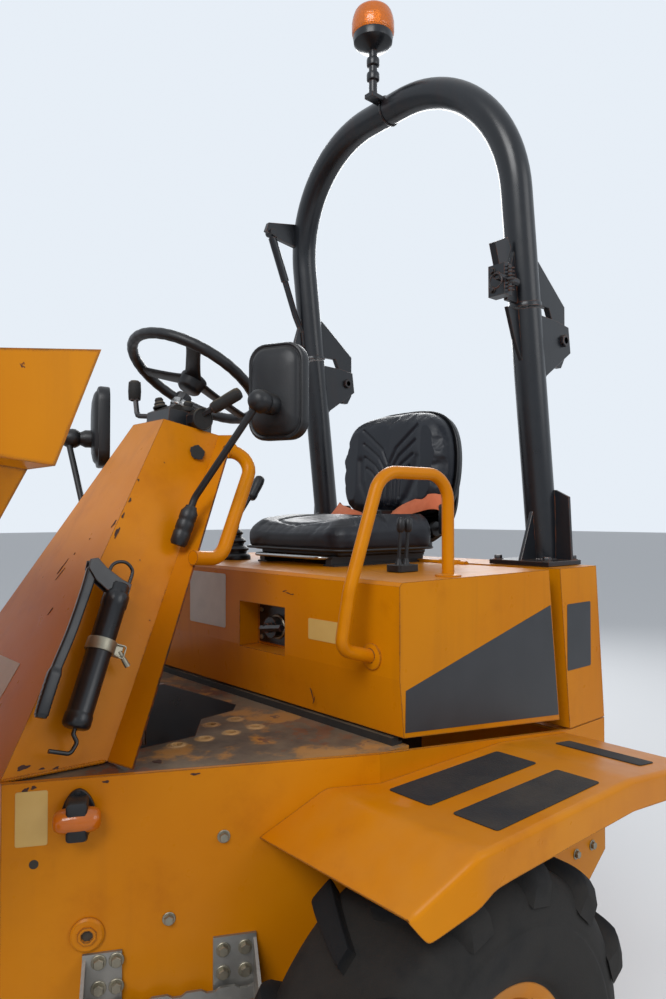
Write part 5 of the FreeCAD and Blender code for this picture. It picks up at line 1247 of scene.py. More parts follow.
# Side, points from the boot to the buckle, ways that the width points there, and the replaced solid
BELTS = [
    ("left", [(-1.634, 0.222, 1.440), (-1.630, 0.225, 1.462), (-1.616, 0.217, 1.480),
              (-1.601, 0.190, 1.484), (-1.596, 0.145, 1.474), (-1.590, 0.095, 1.460),
              (-1.576, 0.050, 1.446), (-1.562, 0.010, 1.4385)],
     [(-1, 0, 0), (-0.90, 0.10, 0.35), (-0.45, 0.05, 0.88), (-0.25, 0, 0.95), (-0.32, 0, 0.93),
      (-0.50, 0, 0.85), (-0.85, 0, 0.45), (-1, 0, 0.05)], ["lap_belt"]),
    ("right", [(-1.634, -0.222, 1.436), (-1.628, -0.229, 1.453), (-1.608, -0.229, 1.464),
               (-1.582, -0.211, 1.464), (-1.562, -0.165, 1.458), (-1.550, -0.105, 1.448),
               (-1.554, -0.055, 1.4405), (-1.562, -0.010, 1.4385)],
     [(-1, 0, 0), (-0.92, -0.10, 0.30), (-0.75, 0, 0.62), (-0.70, 0, 0.68), (-0.76, 0, 0.60),
      (-0.84, 0, 0.48), (-0.92, 0, 0.30), (-1, 0, 0.05)], []),
]


def belt_strip(line_points, across_points):
    """Section corners at line + a * across + b * out, where out stands square to line and width."""
    line, across = flowing(line_points, 60), flowing(across_points, 60)
    heading = unit_rows(np.gradient(line, axis=0))
    across = unit_rows(across - heading * np.sum(across * heading, 1)[:, None])
    section = rounded(BELT_WIDTH / 2, BELT_THICK / 2, BELT_THICK * 0.45, 1)
    return swept(line, section, across, np.cross(heading, across)), line


for side_name, line_points, across_points, stands_for in BELTS:
    surface, line = belt_strip(line_points, across_points)
    strap = piece("belt_" + side_name, [surface], webbing, "cover", stands_for, crease=60)
# Half length, half width and corner of the buckle's outlines, and their heights
BUCKLE = [(0.027, 0.024, 0.006, 0.0), (0.029, 0.026, 0.007, 0.003), (0.029, 0.026, 0.007, 0.012),
          (0.025, 0.022, 0.006, 0.016)]
buckle = [loft([(rounded(*size), height) for *size, height in BUCKLE], place=(-1.562, 0.022, 1.444)),
          plate(rounded(0.025, 0.020, 0.006), 0.0, 0.003, FLAT, (-1.562, -0.022, 1.449))]
for side in (-1, 1):
    buckle.append(plate(rounded(0.027, 0.045, 0.010), -0.008, 0.008, UPRIGHT,
                        (-1.632, side * 0.223, 1.431), 0.003))
    buckle += nut((-1.634, side * 0.231, 1.404), (0, side, 0), 0.009, 0.006)
    buckle.append(tube([(-1.638, side * 0.216, 1.402), (-1.656, side * 0.190, 1.402),
                        (-1.684, side * 0.150, 1.404)], 0.007, 8))
piece("belt_buckle", buckle, plastic, "cover")

# %% [markdown]
# ## Mirrors, levers and lamps
#
# Small moulded pieces: domed mirror heads with a pane let in, gaiters with rings, a grease gun in
# its clip, and lamps with their hoods and lenses.

# %% Mirrors
def pose(surfaces, place, yaw):
    """Surfaces turned about the upright through an angle, then carried to their place."""
    cosine, sine = math.cos(math.radians(yaw)), math.sin(math.radians(yaw))
    turn = np.array([[cosine, -sine, 0], [sine, cosine, 0], [0, 0, 1]])
    return [(p @ turn.T + np.asarray(place), f) for p, f in surfaces]


# Half width, half height and corner of a mirror head's outlines, and how far each lies forward
HEAD = [(0.065, 0.102, 0.036, -0.016), (0.066, 0.103, 0.037, -0.0195), (0.070, 0.108, 0.041, -0.020),
        (0.071, 0.109, 0.042, -0.016), (0.071, 0.110, 0.043, 0.004), (0.069, 0.108, 0.042, 0.009),
        (0.066, 0.105, 0.040, 0.010), (0.063, 0.102, 0.038, 0.008), (0.061, 0.100, 0.037, 0.0085),
        (0.058, 0.097, 0.035, 0.0140), (0.052, 0.091, 0.032, 0.0185), (0.038, 0.073, 0.026, 0.0230),
        (0.020, 0.045, 0.016, 0.0252), (0.006, 0.016, 0.005, 0.0260)]
head_sections = [(rounded(*size, 7), forward) for *size, forward in HEAD]
pane = [(rounded(0.064, 0.101, 0.035, 7), forward) for forward in (-0.0185, -0.0155)]
BALL = [(0.0, 0.018), (0.024, 0.018), (0.024, 0.040), (0.020, 0.048), (0.018, 0.053), (0.022, 0.058),
        (0.026, 0.066), (0.0265, 0.074), (0.025, 0.086), (0.020, 0.096), (0.012, 0.102), (0.0, 0.103)]
MIRROR_BOOT = [(0.0, 0.0), (0.012, 0.0), (0.014, 0.006), (0.019, 0.014), (0.0195, 0.030), (0.018, 0.034),
               (0.0195, 0.038), (0.0195, 0.054), (0.018, 0.058), (0.0195, 0.062), (0.019, 0.084),
               (0.016, 0.091), (0.0, 0.092)]
# Head middle, yaw, lower end of the stem and the point below its bend
MIRRORS = [((-0.944, 0.308, 1.722), 24, (-0.771, 0.200, 1.420), (-0.793, 0.205, 1.482)),
           ((-0.800, -0.306, 1.684), -20, (-0.700, -0.212, 1.392), (-0.722, -0.226, 1.452))]
housings, panes = [], []
for head, yaw, foot, knee in MIRRORS:
    housings += pose([loft(head_sections, FACING), lathe(BALL, 28, (0, 0, -0.032), AHEAD)], head, yaw)
    panes += pose([loft(pane, FACING)], head, yaw)
    angle = math.radians(yaw)
    joint = np.array(head) + (0.084 * math.cos(angle), 0.084 * math.sin(angle), -0.036)
    housings.append(tube(bar_path([joint, knee, foot], [0.040], 8), 0.008, 14))
    run = unit(np.array(foot) - np.array(knee))
    housings.append(lathe(MIRROR_BOOT, 24, np.array(foot) - run * 0.046, run))
piece("mirror_heads", housings, plastic, "rear_frame", ["mirrors"], crease=45)
piece("mirror_panes", panes, mirror_glass, "rear_frame")

# %% Levers and gaiter on the cover
# The gaiter's four folds, each a little narrower and higher than the one below
fold = np.array([(0.0500, 0.004), (0.0505, 0.009), (0.0460, 0.014), (0.0370, 0.021), (0.0360, 0.026)])
folds = np.concatenate([fold + (-0.0085 * i, 0.025 * i) for i in range(4)])
gaiter = np.concatenate([[(0.0, 0.001), (0.050, 0.001)], folds, [(0.011, 0.108), (0.0, 0.108)]])
gaiter[:, 0] = np.minimum(gaiter[:, 0], 0.048)
lever_line = bar_path([(-1.233, -0.290, COVER_TOP + 0.060), (-1.240, -0.290, COVER_TOP + 0.130),
                       (-1.318, -0.290, COVER_TOP + 0.240)], [0.080], 10)
grip_axis = unit(np.array((-0.042, 0, 0.074)))
LEVER_KNOB = [(0.0, 0.0), (0.010, 0.0), (0.014, 0.004), (0.0165, 0.014), (0.0155, 0.030), (0.017, 0.046),
              (0.0172, 0.066), (0.015, 0.078), (0.009, 0.084), (0.0, 0.085)]
SMALL_KNOB = [(0.0, 0.0), (0.006, 0.0), (0.0095, 0.006), (0.0105, 0.018), (0.0095, 0.030), (0.006, 0.035),
              (0.0, 0.036)]
SMALL_FOOT = [(0.0, 0.016), (0.010, 0.016), (0.008, 0.022), (0.0055, 0.032), (0.0, 0.033)]
PAIR_Y = 0.402
surfaces = [lathe(gaiter, 40, (-1.233, -0.290, COVER_TOP)), tube(lever_line, 0.0085, 16),
            lathe(LEVER_KNOB, 24, (-1.290, -0.290, COVER_TOP + 0.188), grip_axis),
            plate(rounded(0.036, 0.024, 0.010), 0.001, 0.018, FLAT, (-1.254, PAIR_Y, COVER_TOP))]
for x in (-1.240, -1.266):
    stalk = [(x, PAIR_Y, COVER_TOP + 0.012), (x - 0.008, PAIR_Y, COVER_TOP + 0.110)]
    surfaces.append(tube(stalk, 0.0045, 12))
    surfaces.append(lathe(SMALL_KNOB, 18, (x - 0.007, PAIR_Y, COVER_TOP + 0.096), (-0.08, 0, 1)))
    surfaces.append(lathe(SMALL_FOOT, 18, (x, PAIR_Y, COVER_TOP)))
piece("cover_handles", surfaces, plastic, "cover", ["cover_levers"], crease=40)

# %% Grease gun in its clip
# The barrel leans with the tower's side. Its head carries a bent plate on which a flat lever
# turns, and a short stiff pipe arches from the head back to a holder for its nozzle.
TOWER_OUT = unit((0.0896, 0.9458, 0.3123))
gun_low, gun_high = np.array((-0.487, 0.300, 1.052)), np.array((-0.598, 0.2346, 1.286))
gun_axis = unit(gun_high - gun_low)
gun_side = unit(np.cross(gun_axis, TOWER_OUT))
gun_out = np.cross(gun_side, gun_axis)
length = float(np.linalg.norm(gun_high - gun_low))
barrel = [(0.0, 0.0), (0.019, 0.0), (0.0245, 0.003), (0.0265, 0.008), (0.0265, 0.024), (0.0250, 0.027),
          (0.0245, 0.030), (0.0245, length - 0.030), (0.0262, length - 0.027), (0.0262, length - 0.004),
          (0.024, length), (0.021, length + 0.004), (0.021, length + 0.016), (0.018, length + 0.020),
          (0.0, length + 0.020)]
surfaces = [lathe(barrel, 36, gun_low, gun_axis)]
pivot = np.array((-0.553, 0.2197, 1.338))
across = unit(pivot - gun_high - gun_axis * (pivot - gun_high).dot(gun_axis))
corner = gun_high + gun_axis * 0.014
# Corners of the lever's bent plate, along across and the gun's own axis
PLATE = [(-0.020, -0.016), (0.018, -0.020), (0.052, -0.006), (0.074, 0.012), (0.076, 0.030), (0.062, 0.038),
         (0.040, 0.026), (0.000, 0.014), (-0.020, 0.012)]
plate_out = np.cross(across, gun_axis)
for lift in (-0.011, 0.007):
    surfaces.append(plate(PLATE, lift, lift + 0.004, (across, gun_axis, plate_out), corner, bevel=0.0006))
lever_line = flowing([pivot + gun_axis * 0.004, (-0.536, 0.231, 1.300), (-0.498, 0.254, 1.224),
                      (-0.462, 0.272, 1.160), (-0.440, 0.284, 1.112), (-0.428, 0.290, 1.080)], 60)
flat_way = unit_rows(np.cross(unit_rows(np.gradient(lever_line, axis=0)), plate_out))
# The lever widens into a ribbed grip from 0.62 of its length on
along = np.linspace(0, 1, len(lever_line))
wide = np.interp(along, [0, 0.03, 0.30, 0.60, 0.62, 0.64, 0.97, 1.0],
                 [0.007, 0.011, 0.0095, 0.0095, 0.0125, 0.0120, 0.0115, 0.009])
deep = np.interp(along, [0, 0.60, 0.62, 0.97, 1.0], [0.007, 0.006, 0.0095, 0.009, 0.007])
wide = wide + 0.0006 * np.cos(along * 150) * (along > 0.66)
surfaces.append(swept(lever_line, rounded(1.0, 1.0, 0.42, 3), flat_way, plate_out, wide, deep))
# Places of the pipe across and along the gun from the corner
PIPE = [(0.030, 0.006), (0.026, 0.040), (0.004, 0.054), (-0.016, 0.044), (-0.018, 0.020), (-0.016, -0.002)]
pipe = flowing([corner + across * a + gun_axis * b for a, b in PIPE], 40)
surfaces.append(tube(pipe, 0.0036, 12))
surfaces.append(lathe([(0.0, -0.014), (0.0075, -0.014), (0.0075, 0.002), (0.0, 0.002)], 6,
                      corner - across * 0.017 + gun_axis * 0.004, gun_axis))
# Places of the rod's hook across and along the gun from its lower end
HOOK = [(0.0, 0.0), (0.0, -0.010), (-0.012, -0.022), (-0.006, -0.044), (0.034, -0.048)]
hook_line = bar_path([gun_low + across * a + gun_axis * b for a, b in HOOK], [0.004, 0.008, 0.010], 8)
surfaces.append(tube(hook_line, 0.0040, 12))
piece("grease_gun_body", surfaces, black, "rear_frame", ["grease_gun"], crease=40)

# %% Grease gun clip
clip_mid = gun_low + gun_axis * 0.158
clip = [lathe([(0.0255, -0.012), (0.0285, -0.0115), (0.0290, -0.009), (0.0290, 0.009), (0.0285, 0.0115),
               (0.0255, 0.012)], 36, clip_mid, gun_axis, closed=True)]
clip.append(plate(rounded(0.010, 0.012, 0.003), -0.062, -0.020, (gun_axis, gun_side, gun_out), clip_mid))
latch = clip_mid - across * 0.034
clip.append(plate(rounded(0.012, 0.010, 0.003), -0.006, 0.006, (gun_axis, across, gun_out), latch))
# Places of the wire bail across and along the gun from the latch
BAIL = [(0.012, 0.010), (-0.014, 0.012), (-0.014, -0.014), (0.012, -0.008)]
bail = bar_path([latch + across * a + gun_axis * b for a, b in BAIL], [0.004, 0.004], 5)
clip.append(tube(bail + gun_out * 0.009, 0.0018, 8))
catch = [latch - across * 0.004 + gun_out * 0.004,
         latch - across * 0.030 - gun_axis * 0.022 + gun_out * 0.002]
clip.append(tube(catch, [0.0045, 0.006], 12))
piece("grease_gun_clip", clip, zinc, "rear_frame", crease=40)
print("grease gun on the tower's left plate, %.3f m long" % length)

# %% Side lamps
def on_side_plate(surfaces, x, z, lift=0.0003):
    """Surfaces drawn with +Y outward, put flat on the flared left side plate at a station and height."""
    place = (x + lift * math.sin(FLARE), side_plate_y(x) + lift * math.cos(FLARE), z)
    return pose(surfaces, place, -math.degrees(FLARE))


oval = np.array([(0.027 * math.cos(t) * (1 + 0.08 * math.cos(2 * t)), 0.046 * math.sin(t))
                 for t in angles(36)])
lamp_bodies = [plate(oval, 0.0, 0.009)]
hood = [(rounded(0.0185, 0.036, 0.006), 0.008), (rounded(0.0185, 0.036, 0.006), 0.034),
        (rounded(0.0175, 0.033, 0.008), 0.042), (rounded(0.014, 0.022, 0.008), 0.0455)]
lamp_bodies.append(loft(hood, UPRIGHT))
LAMP_SCREW = [(0.0, 0.008), (0.0052, 0.009), (0.0045, 0.0118), (0.0, 0.0124)]
lamp_bodies += [lathe(LAMP_SCREW, 14, (0, 0, z), SIDE) for z in (-0.0395, 0.0395)]
half_glass = np.array([(0.0218, 0.0), (0.0215, 0.020), (0.0195, 0.030), (0.0155, 0.037), (0.010, 0.0398),
                       (0.0, 0.0398)])
glass = np.concatenate([half_glass[:0:-1] * (1, -1), half_glass])
lamp_glass = [lathe(glass, 32, (0, 0.028, 0), AHEAD)]
LAMP_X, LAMP_Z = -0.479, 0.911
piece("side_lamp_bodies", both(*on_side_plate(lamp_bodies, LAMP_X, LAMP_Z)), plastic, "rear_frame",
      ["side_lamps"], crease=40)
piece("side_lamp_glass", both(*on_side_plate(lamp_glass, LAMP_X, LAMP_Z)), amber, "rear_frame",
      crease=50)

# %% Rear lamps
REAR_X = -1.850
back_axes = (SIDE, UP, -AHEAD)
spot = (REAR_X, 0.495, 0.770)
# Half width, half height and corner of each outline, and how far it stands off the plate
LAMP_BODY = [(0.065, 0.050, 0.012, 0.001), (0.065, 0.050, 0.012, 0.010), (0.063, 0.048, 0.012, 0.013)]
LAMP_LENS = [(0.062, 0.047, 0.011, 0.012), (0.062, 0.047, 0.011, 0.024), (0.058, 0.043, 0.011, 0.030),
             (0.050, 0.036, 0.010, 0.0316)]
body_rows, lens_rows = ([(rounded(*size), off) for *size, off in rows] for rows in (LAMP_BODY, LAMP_LENS))
piece("rear_lamp_bodies", both(loft(body_rows, back_axes, spot)), plastic, "rear_frame")
piece("rear_lamp_glass", both(loft(lens_rows, back_axes, spot)), red, "rear_frame",
      ["rear_lamps"], crease=40)

# %% [markdown]
# ## Fasteners, pads, plates and labels
#
# Bolt heads follow short tables: a place, a direction and a size. The mudguards carry three black
# grip pads each, the cover a dark flash on each side, and every label is blank.

# %% Bolts
# Station, height and size of the heads on the left side plate; the right side has the same
SIDE_BOLTS = [(-0.707, 0.845, 0.009), (-0.619, 0.706, 0.009)]
SIDE_BOLTS += [(x, z, 0.010) for corners in (box(-0.538, -0.511, 0.602, 0.648),
                                             box(-0.742, -0.706, 0.598, 0.640)) for x, z in corners]
STEP_PLATES_TOP = 0.66
heads = []
for x, z, radius in SIDE_BOLTS:
    proud = 0.0063 if z < STEP_PLATES_TOP else 0.0003
    heads += on_side_plate(nut((0, 0, 0), SIDE, radius, 0.008), x, z, proud)
BOSS = [(0.0, 0.0), (0.030, 0.0), (0.030, 0.004), (0.026, 0.007), (0.016, 0.007), (0.014, 0.003),
        (0.0, 0.003)]
BOSS_X, BOSS_Z = -0.493, 0.697
bosses = on_side_plate([lathe(BOSS, 32, axis=SIDE)], BOSS_X, BOSS_Z)
piece("side_bosses", both(*bosses), yellow, "rear_frame")
piece("side_bolts", both(*heads), zinc, "rear_frame")

# %% Raised rims of the deck holes
rim_profile = [(0.0108, -0.001), (0.0108, 0.0012), (0.0120, 0.0022), (0.0145, 0.0022), (0.0165, 0.0010),
               (0.0185, -0.001)]
DECK_TOP = 0.968
rims = []
for i in range(HOLES_ALONG):
    for j in range(HOLES_ACROSS):
        spot = (HOLE_FIRST_X - HOLE_PITCH_X * i, HOLE_FIRST_Y + HOLE_PITCH_Y * j, DECK_TOP)
        rims.append(lathe(rim_profile, 24, spot, closed=True))
piece("deck_hole_rims", both(*rims), deck_worn, "rear_frame")

# %% Grip pads on the mudguards
# Front, rear, inner and outer edge of each pad on the mudguard's flat top
PADS = [(-0.962, -1.307, 0.638, 0.741), (-0.966, -1.302, 0.790, 0.887)]
pads = []
for front, rear, inner, outer in PADS:
    pads.append(plate(rounded((front - rear) / 2, (outer - inner) / 2, 0.007), 0.0002, 0.0022, FLAT,
                      ((front + rear) / 2, (outer + inner) / 2, GUARD_TOP), bevel=0.0006))
# The third pad lies on the part that falls to the rear
slope = unit((GUARD_FLAT_REAR - GUARD_REAR, 0, GUARD_TOP - GUARD_REAR_Z))
third_pad = np.array((GUARD_FLAT_REAR, 0.768, GUARD_TOP)) - 0.160 * slope
pads.append(plate(rounded(0.033, 0.104, 0.007), 0.0002, 0.0022, (slope, SIDE, np.cross(slope, SIDE)),
                  third_pad, bevel=0.0006))
piece("guard_pads", both(*pads), grip_rubber, "rear_frame")

# %% Dark flash on the cover's sides
COVER_SIDE = 0.600
THIN = 0.0009
flash = [(-1.050, 1.000), (-1.052, 1.085), (-1.586, 1.217), (-1.620, 0.936)]
piece("cover_flash", both(plate(flash, COVER_SIDE + 0.0001, COVER_SIDE + THIN, bevel=0.0002)),
      decal_dark, "cover")

# %% Blank labels
# Name, body, finish, middle, half width, half height, way across, way up and round corner
COVER_FRONT = -1.035
plate_across = unit(np.array((-math.cos(FLARE), math.sin(FLARE), 0)))
plate_out = np.array((math.sin(FLARE), math.cos(FLARE), 0))
# The tower's front left foot, the edge from there to its top and the base line to the rear
TOWER_FOOT = np.array((-0.365, 0.270, 0.974))
TOWER_EDGE, TOWER_BASE = np.array((-0.420, -0.192, 0.696)), np.array((-0.190, 0.018, 0.0))
tower_rise = unit(TOWER_EDGE * (1, 0, 1))
LABELS = [
    ("label_cover_front", "cover", label_pale, (COVER_FRONT, -0.131, 1.214), 0.092, 0.072, SIDE, UP, 0.006),
    ("label_cover_yellow", "cover", label_yellow, (COVER_FRONT, 0.373, 1.181), 0.064, 0.024, SIDE, UP, 0.004),
    ("label_housing", "rear_frame", decal_dark, (-1.722, COVER_SIDE, 1.126), 0.058, 0.086, -AHEAD, UP, 0.005),
    ("label_chassis", "rear_frame", label_yellow, (-0.409, side_plate_y(-0.409), 0.910), 0.027, 0.048,
     plate_across, UP, 0.004),
    ("label_tower", "rear_frame", label_pale, (-0.4404, 0.003, 1.099), 0.070, 0.047, SIDE, tower_rise, 0.004),
]
for name, body, material, middle, half_a, half_b, across, rise, corner in LABELS:
    out = np.cross(across, rise)
    outline = rounded(half_a, half_b, corner, 6)
    piece(name, [plate(outline, 0.0001, THIN, (across, rise, out), middle, bevel=0.0002)],
          material, body)

# %% Isolator screws and ring
iso_x = COVER_FRONT - 0.054
SCREW = [(0.0, 0.0), (0.0065, 0.0), (0.0060, 0.003), (0.004, 0.0042), (0.0, 0.0044)]
SWITCH_RING = [(0.0, 0.0), (0.031, 0.0), (0.032, 0.002), (0.030, 0.004), (0.0, 0.004)]
surfaces = [lathe(SCREW, 16, (iso_x, y, z), AHEAD) for y, z in box(0.052, 0.194, 1.124, 1.196)]
surfaces.append(lathe(SWITCH_RING, 32, (iso_x, 0.120, 1.158), AHEAD))
piece("isolator_screws", surfaces, zinc, "cover")

# %% Dash: column collar, dial ring, boots and grips
COLLAR = [(0.0, 0.0), (0.021, 0.0), (0.0225, 0.002), (0.0225, 0.014), (0.020, 0.019), (0.0, 0.019)]
piece("column_collar", [lathe(COLLAR, 32, WHEEL_HUB - column * 0.070, column)], bright, "rear_frame")
dash_spot = np.array((-0.880, 0.092, 1.676))
DIAL = [(0.0, 0.0), (0.0265, 0.0), (0.0272, 0.002), (0.0272, 0.006), (0.0250, 0.0075),
        (0.0240, 0.0055), (0.0, 0.0055)]
SHAFT_BOOT = [(0.0, 0.0), (0.018, 0.0), (0.018, 0.004), (0.013, 0.008), (0.014, 0.012), (0.010, 0.017),
              (0.011, 0.021), (0.008, 0.026), (0.0, 0.027)]
SMALL_BOOT = [(0.0, 0.0), (0.016, 0.0), (0.016, 0.004), (0.011, 0.010), (0.012, 0.014), (0.009, 0.020),
              (0.0, 0.021)]
KNOB_GRIP = [(0.0, -0.026), (0.010, -0.026), (0.0155, -0.020), (0.0165, 0.0), (0.0155, 0.020), (0.010, 0.027),
             (0.0, 0.028)]
grip_low, grip_high = np.array((-0.896, 0.116, 1.701)), np.array((-0.934, 0.172, 1.736))
grip_run = float(np.linalg.norm(grip_high - grip_low))
LEVER_GRIP = [(0.0, -0.006), (0.008, -0.006), (0.0125, -0.002), (0.0155, 0.010), (0.0148, 0.028),
              (0.0156, 0.046), (0.0156, grip_run - 0.006), (0.013, grip_run + 0.001),
              (0.008, grip_run + 0.003), (0.0, grip_run + 0.003)]
boots = [lathe(DIAL, 32, dash_spot, SIDE), lathe(SHAFT_BOOT, 24, (-0.836, -0.034, 1.712), (0.1, -0.2, 1)),
         lathe(SMALL_BOOT, 24, (-0.866, 0.046, 1.702), (0, 0.3, 1)),
         lathe(KNOB_GRIP, 24, (-0.812, -0.127, 1.764), UP),
         lathe(LEVER_GRIP, 24, grip_low, grip_high - grip_low)]
piece("dash_boots", boots, rubber, "rear_frame", crease=50)

# %% Caps, plugs and holes on the tower and the chassis
holes = on_side_plate([lathe(disc(0.0125, 0.0006), 24, axis=SIDE)], BOSS_X, BOSS_Z, 0.0036)
holes += on_side_plate([lathe(disc(0.008, 0.0005), 20, axis=SIDE)], -0.413, 0.830)
piece("chassis_plugs", both(*holes), rubber, "rear_frame")
turn = angles(48)
torn = 0.0185 + 0.0010 * np.sin(5 * turn + 1) + 0.0007 * np.sin(11 * turn)
tower_way = unit(np.cross(UP, TOWER_OUT))
tower_cap = plate(np.stack([torn * np.cos(turn), torn * np.sin(turn)], 1), 0.0003, 0.0014,
                  (tower_way, np.cross(TOWER_OUT, tower_way), TOWER_OUT), (-0.8555, 0.1112, 1.5925),
                  bevel=0.0004)
piece("tower_cap", [tower_cap], rubber, "rear_frame")

# %% Hoop latch pieces: spring, split ring, nuts and the strut's sleeve
latch_x = hoop_x(HOOP_JOINT + 0.060) + 0.092
turns = np.linspace(0, 2 * math.pi * 7, 140)
coil = np.stack([latch_x + 0.017 + 0.0085 * np.cos(turns), HOOP_HALF + 0.034 + 0.0085 * np.sin(turns),
                 HOOP_JOINT + 0.020 + 0.068 * turns / turns[-1]], 1)
turn = angles(32)
split_ring = np.stack([np.full(32, latch_x + 0.064), HOOP_HALF + 0.020 + 0.019 * np.cos(turn),
                       HOOP_JOINT + 0.040 + 0.019 * np.sin(turn)], 1)
latch = [tube(coil, 0.0016, 8), tube(split_ring, 0.0022, 8, closed=True)]
for lift in (0.030, 0.080):
    latch += nut((latch_x + 0.034, HOOP_HALF - 0.012, HOOP_JOINT + lift), AHEAD, 0.008, 0.006, 1.2)
strut_x = hoop_x(2.470) + HOOP_RADIUS
strut_top = np.array((strut_x + 0.098, -HOOP_HALF, 2.448))
way = np.array((strut_x - 0.010, -HOOP_HALF, 2.180)) - strut_top
latch.append(tube([strut_top + way * 0.06, strut_top + way * 0.60], 0.0145, 16))
latch.append(lathe(disc(0.012, 0.034), 16, strut_top - SIDE * 0.017, SIDE))
piece("hoop_latch_trim", latch, black, "hoop")

# %% Hinge knuckles
KNUCKLE = [(0.0, -0.035), (0.0115, -0.035), (0.012, -0.034), (0.012, 0.034), (0.0115, 0.035), (0.0, 0.035)]
knuckles = [lathe(KNUCKLE, 20, (-1.580, y, COVER_TOP), SIDE) for y in (-0.28, -0.10, 0.10, 0.28)]
piece("cover_knuckles", knuckles, yellow, "cover")

# %% Weld beads
def weld(points, radius=0.0035, pitch=0.006):
    """A bead along a line: a tube whose radius ripples once for each small advance."""
    points = np.asarray(points, float)
    reach = lengths_along(points)
    count = max(6, int(reach[-1] / pitch * 4))
    spots = np.linspace(0, reach[-1], count)
    line = np.stack([np.interp(spots, reach, points[:, k]) for k in range(3)], 1)
    ripple = radius * (1 + 0.16 * np.cos(2 * math.pi * spots / pitch))
    ends = np.minimum(1, np.minimum(spots, reach[-1] - spots) / (2 * radius) + 0.3)
    return tube(line, ripple * ends, 8)


turn = np.linspace(0, 2 * math.pi, 40)
post_foot = np.stack([hoop_x(COVER_TOP) + 0.0455 * np.cos(turn), HOOP_HALF + 0.0455 * np.sin(turn),
                      np.full(40, COVER_TOP + 0.0145)], 1)
lug_seam = [(FOLD[0] + 0.040, HOOP_HALF + 0.009, 1.990), (hoop_x(1.990) - 0.042, HOOP_HALF + 0.009, 2.0)]
piece("post_welds", both(weld(post_foot), weld(lug_seam)), black, "rear_frame")
side_seam = [(-0.366, 0.268, 0.9755), (-0.553, 0.287, 0.9755)]
front_seam = [(-0.3648, 0.26, 0.9755), (-0.3648, -0.26, 0.9755)]
piece("tower_welds", both(weld(side_seam)) + [weld(front_seam)], yellow, "rear_frame")
FLOOR_HALF_WIDTH, FLOOR_Z = 0.430, 0.9695
side_seam = [(-0.040, FLOOR_HALF_WIDTH, FLOOR_Z), (1.290, FLOOR_HALF_WIDTH, FLOOR_Z)]
end_seams = [[(x, 0.42, FLOOR_Z), (x, -0.42, FLOOR_Z)] for x in (1.292, -0.058)]
piece("skip_welds", both(weld(side_seam, 0.004)) + [weld(s, 0.004) for s in end_seams], skip_yellow,
      "skip")

# %% Bolts round the slewing ring and on the pins
RING_BOLTS = 16
heads = []
for turn in angles(RING_BOLTS) + math.pi / RING_BOLTS:
    spot = (0.675 + 0.268 * math.cos(turn), 0.268 * math.sin(turn), 0.705)
    heads += nut(spot, UP, 0.010, 0.008)
piece("ring_bolts", heads, zinc, "front_frame")
heads = []
for x, z in box(-1.780, -1.700, 0.560, 0.640):
    heads += both(*nut((x, 0.6002, z), SIDE, 0.010, 0.008))
for y, z in box(-0.10, 0.10, 0.57, 0.63):
    heads += nut((REAR_X - 0.0002, y, z), -AHEAD, 0.010, 0.008)
piece("rear_bolts", heads, zinc, "rear_frame")

# %% Pedal rubbers
PEDAL_TOP = 1.0262
rubbers = []
for y in (0.070, 0.150):
    rubbers.append(plate(box(-0.738, -0.680, y + 0.004, y + 0.052), PEDAL_TOP, PEDAL_TOP + 0.0038, FLAT,
                         bevel=0.0015))
    for x in (-0.730, -0.716, -0.702, -0.688):
        rib = [(x, y + 0.008, PEDAL_TOP + 0.0040), (x, y + 0.048, PEDAL_TOP + 0.0040)]
        rubbers.append(tube(rib, 0.0022, 8))
piece("pedal_rubbers", rubbers, rubber, "rear_frame")
print("pieces:", len(made), "triangles:", sum(made.values()))

# %% Chipped and scratched spots
# Small torn spots in a dark finish, most where the paint is knocked off. Each is a place on a face, its half
# sizes and turn
def spots_on(out, rows):
    """Thin torn discs on a face: the radius swings with three and five waves round the spot."""
    level = unit(np.cross(UP, out) if abs(out[2]) < 0.99 else SIDE)
    up_face = np.cross(out, level)
    turn = angles(18)
    found = []
    for number, (x, y, z, half_a, half_b, lean) in enumerate(rows):
        reach = 1 + 0.22 * np.cos(3 * turn + 1.7 * number) + 0.13 * np.cos(5 * turn + 2.9 * number)
        a, b = half_a * reach * np.cos(turn), half_b * reach * np.sin(turn)
        cosine, sine = math.cos(math.radians(lean)), math.sin(math.radians(lean))
        outline = np.stack([a * cosine - b * sine, a * sine + b * cosine], 1)
        found.append(plate(outline, 0.0001, 0.0008, (level, up_face, out), (x, y, z), bevel=0.0001))
    return found


tower_front_out = np.cross(SIDE, tower_rise)
tower_side_out = unit(np.cross(TOWER_BASE, TOWER_EDGE))


def on_tower_side(x, z):
    """The place on the tower's left plate at a station and height."""
    ahead, above = x - TOWER_FOOT[0], z - TOWER_FOOT[2]
    inward = (ahead * tower_side_out[0] + above * tower_side_out[2]) / tower_side_out[1]
    return x, TOWER_FOOT[1] - inward, z


def on_tower_front(x, y):
    """The place on the tower's front face at a station and a distance to the side."""
    return x, y, TOWER_FOOT[2] + (x - TOWER_FOOT[0]) * TOWER_EDGE[2] / TOWER_EDGE[0]


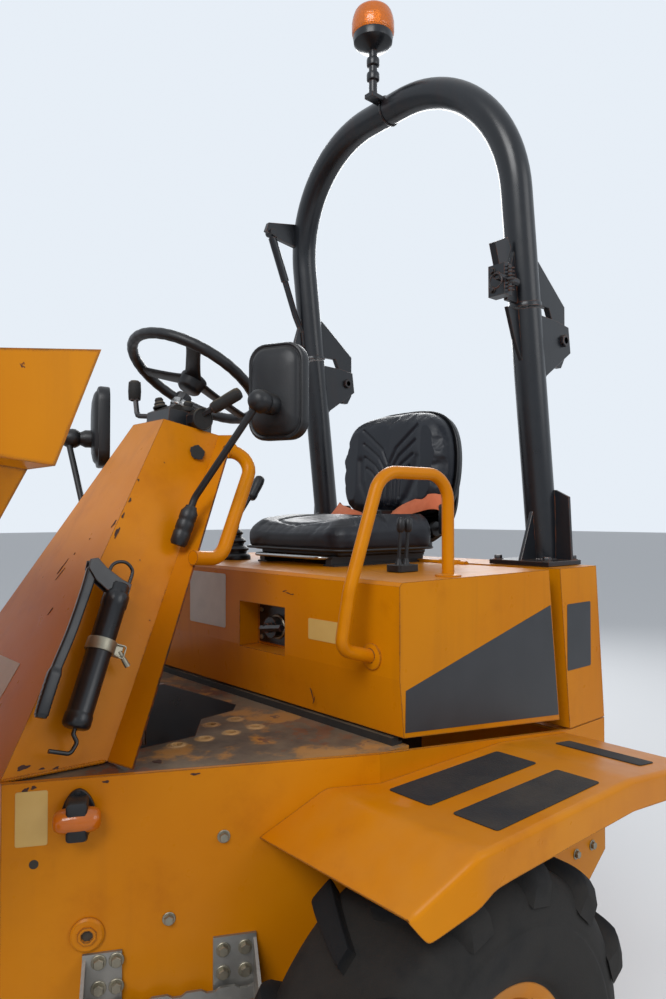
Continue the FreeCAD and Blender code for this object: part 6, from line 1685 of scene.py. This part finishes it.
# Station, height, half sizes and turn of the spots on the tower's left plate
side_rows = [(-0.6745, 1.4764, 0.0022, 0.0060, -30), (-0.6540, 1.4427, 0.0020, 0.0070, -30),
             (-0.6355, 1.4066, 0.0034, 0.0125, -30), (-0.7005, 1.5218, 0.0022, 0.0030, 0),
             (-0.4058, 0.9910, 0.0110, 0.0040, 4), (-0.4373, 0.9834, 0.0050, 0.0018, 0),
             (-0.4615, 0.9800, 0.0055, 0.0022, 12), (-0.6772, 1.3474, 0.0012, 0.0012, 0),
             (-0.6792, 1.2229, 0.0014, 0.0011, 0)]
# Station, side, half sizes and turn of the spots on its front
front_rows = [(-0.6371, 0.1340, 0.0034, 0.0100, -14), (-0.5778, -0.0012, 0.0022, 0.0200, -18),
              (-0.5700, 0.0100, 0.0014, 0.0150, -22), (-0.5264, 0.0711, 0.0018, 0.0080, -16),
              (-0.5964, 0.0230, 0.0016, 0.0030, 0), (-0.6167, 0.0565, 0.0014, 0.0022, 0)]
# Station, height, half sizes and turn of the spots on the left side plate
plate_rows = [(-0.4001, 0.9600, 0.0060, 0.0040, 40), (-0.4119, 0.9640, 0.0045, 0.0030, 20),
              (-0.5200, 0.9640, 0.0060, 0.0022, 0), (-0.6600, 0.9645, 0.0090, 0.0020, 0)]
chips_frame = spots_on(tower_side_out, [(*on_tower_side(x, z), *rest) for x, z, *rest in side_rows])
chips_frame += spots_on(tower_front_out, [(*on_tower_front(x, y), *rest) for x, y, *rest in front_rows])
chips_frame += spots_on(plate_out, [(x, side_plate_y(x), z, *rest) for x, z, *rest in plate_rows])
# One dark round spot lies flat on the deck beside the tower, in the same dark finish
chips_frame += spots_on(UP, [(-0.6355, 0.3367, 0.9681, 0.0100, 0.0085, 0)])
piece("chipped_spots", chips_frame, bare_metal, "rear_frame")
# Side, height, half sizes and turn of the spots on the cover's front
cover_rows = [(0.2180, 1.2600, 0.0080, 0.0014, 14), (0.2330, 1.2560, 0.0100, 0.0013, -8),
              (0.2480, 1.2545, 0.0070, 0.0012, 6), (0.3215, 1.0330, 0.0016, 0.0130, 24),
              (0.3290, 1.0180, 0.0014, 0.0090, -20)]
chips_cover = spots_on(AHEAD, [(COVER_FRONT, *row) for row in cover_rows])
piece("chipped_cover_spots", chips_cover, bare_metal, "cover")
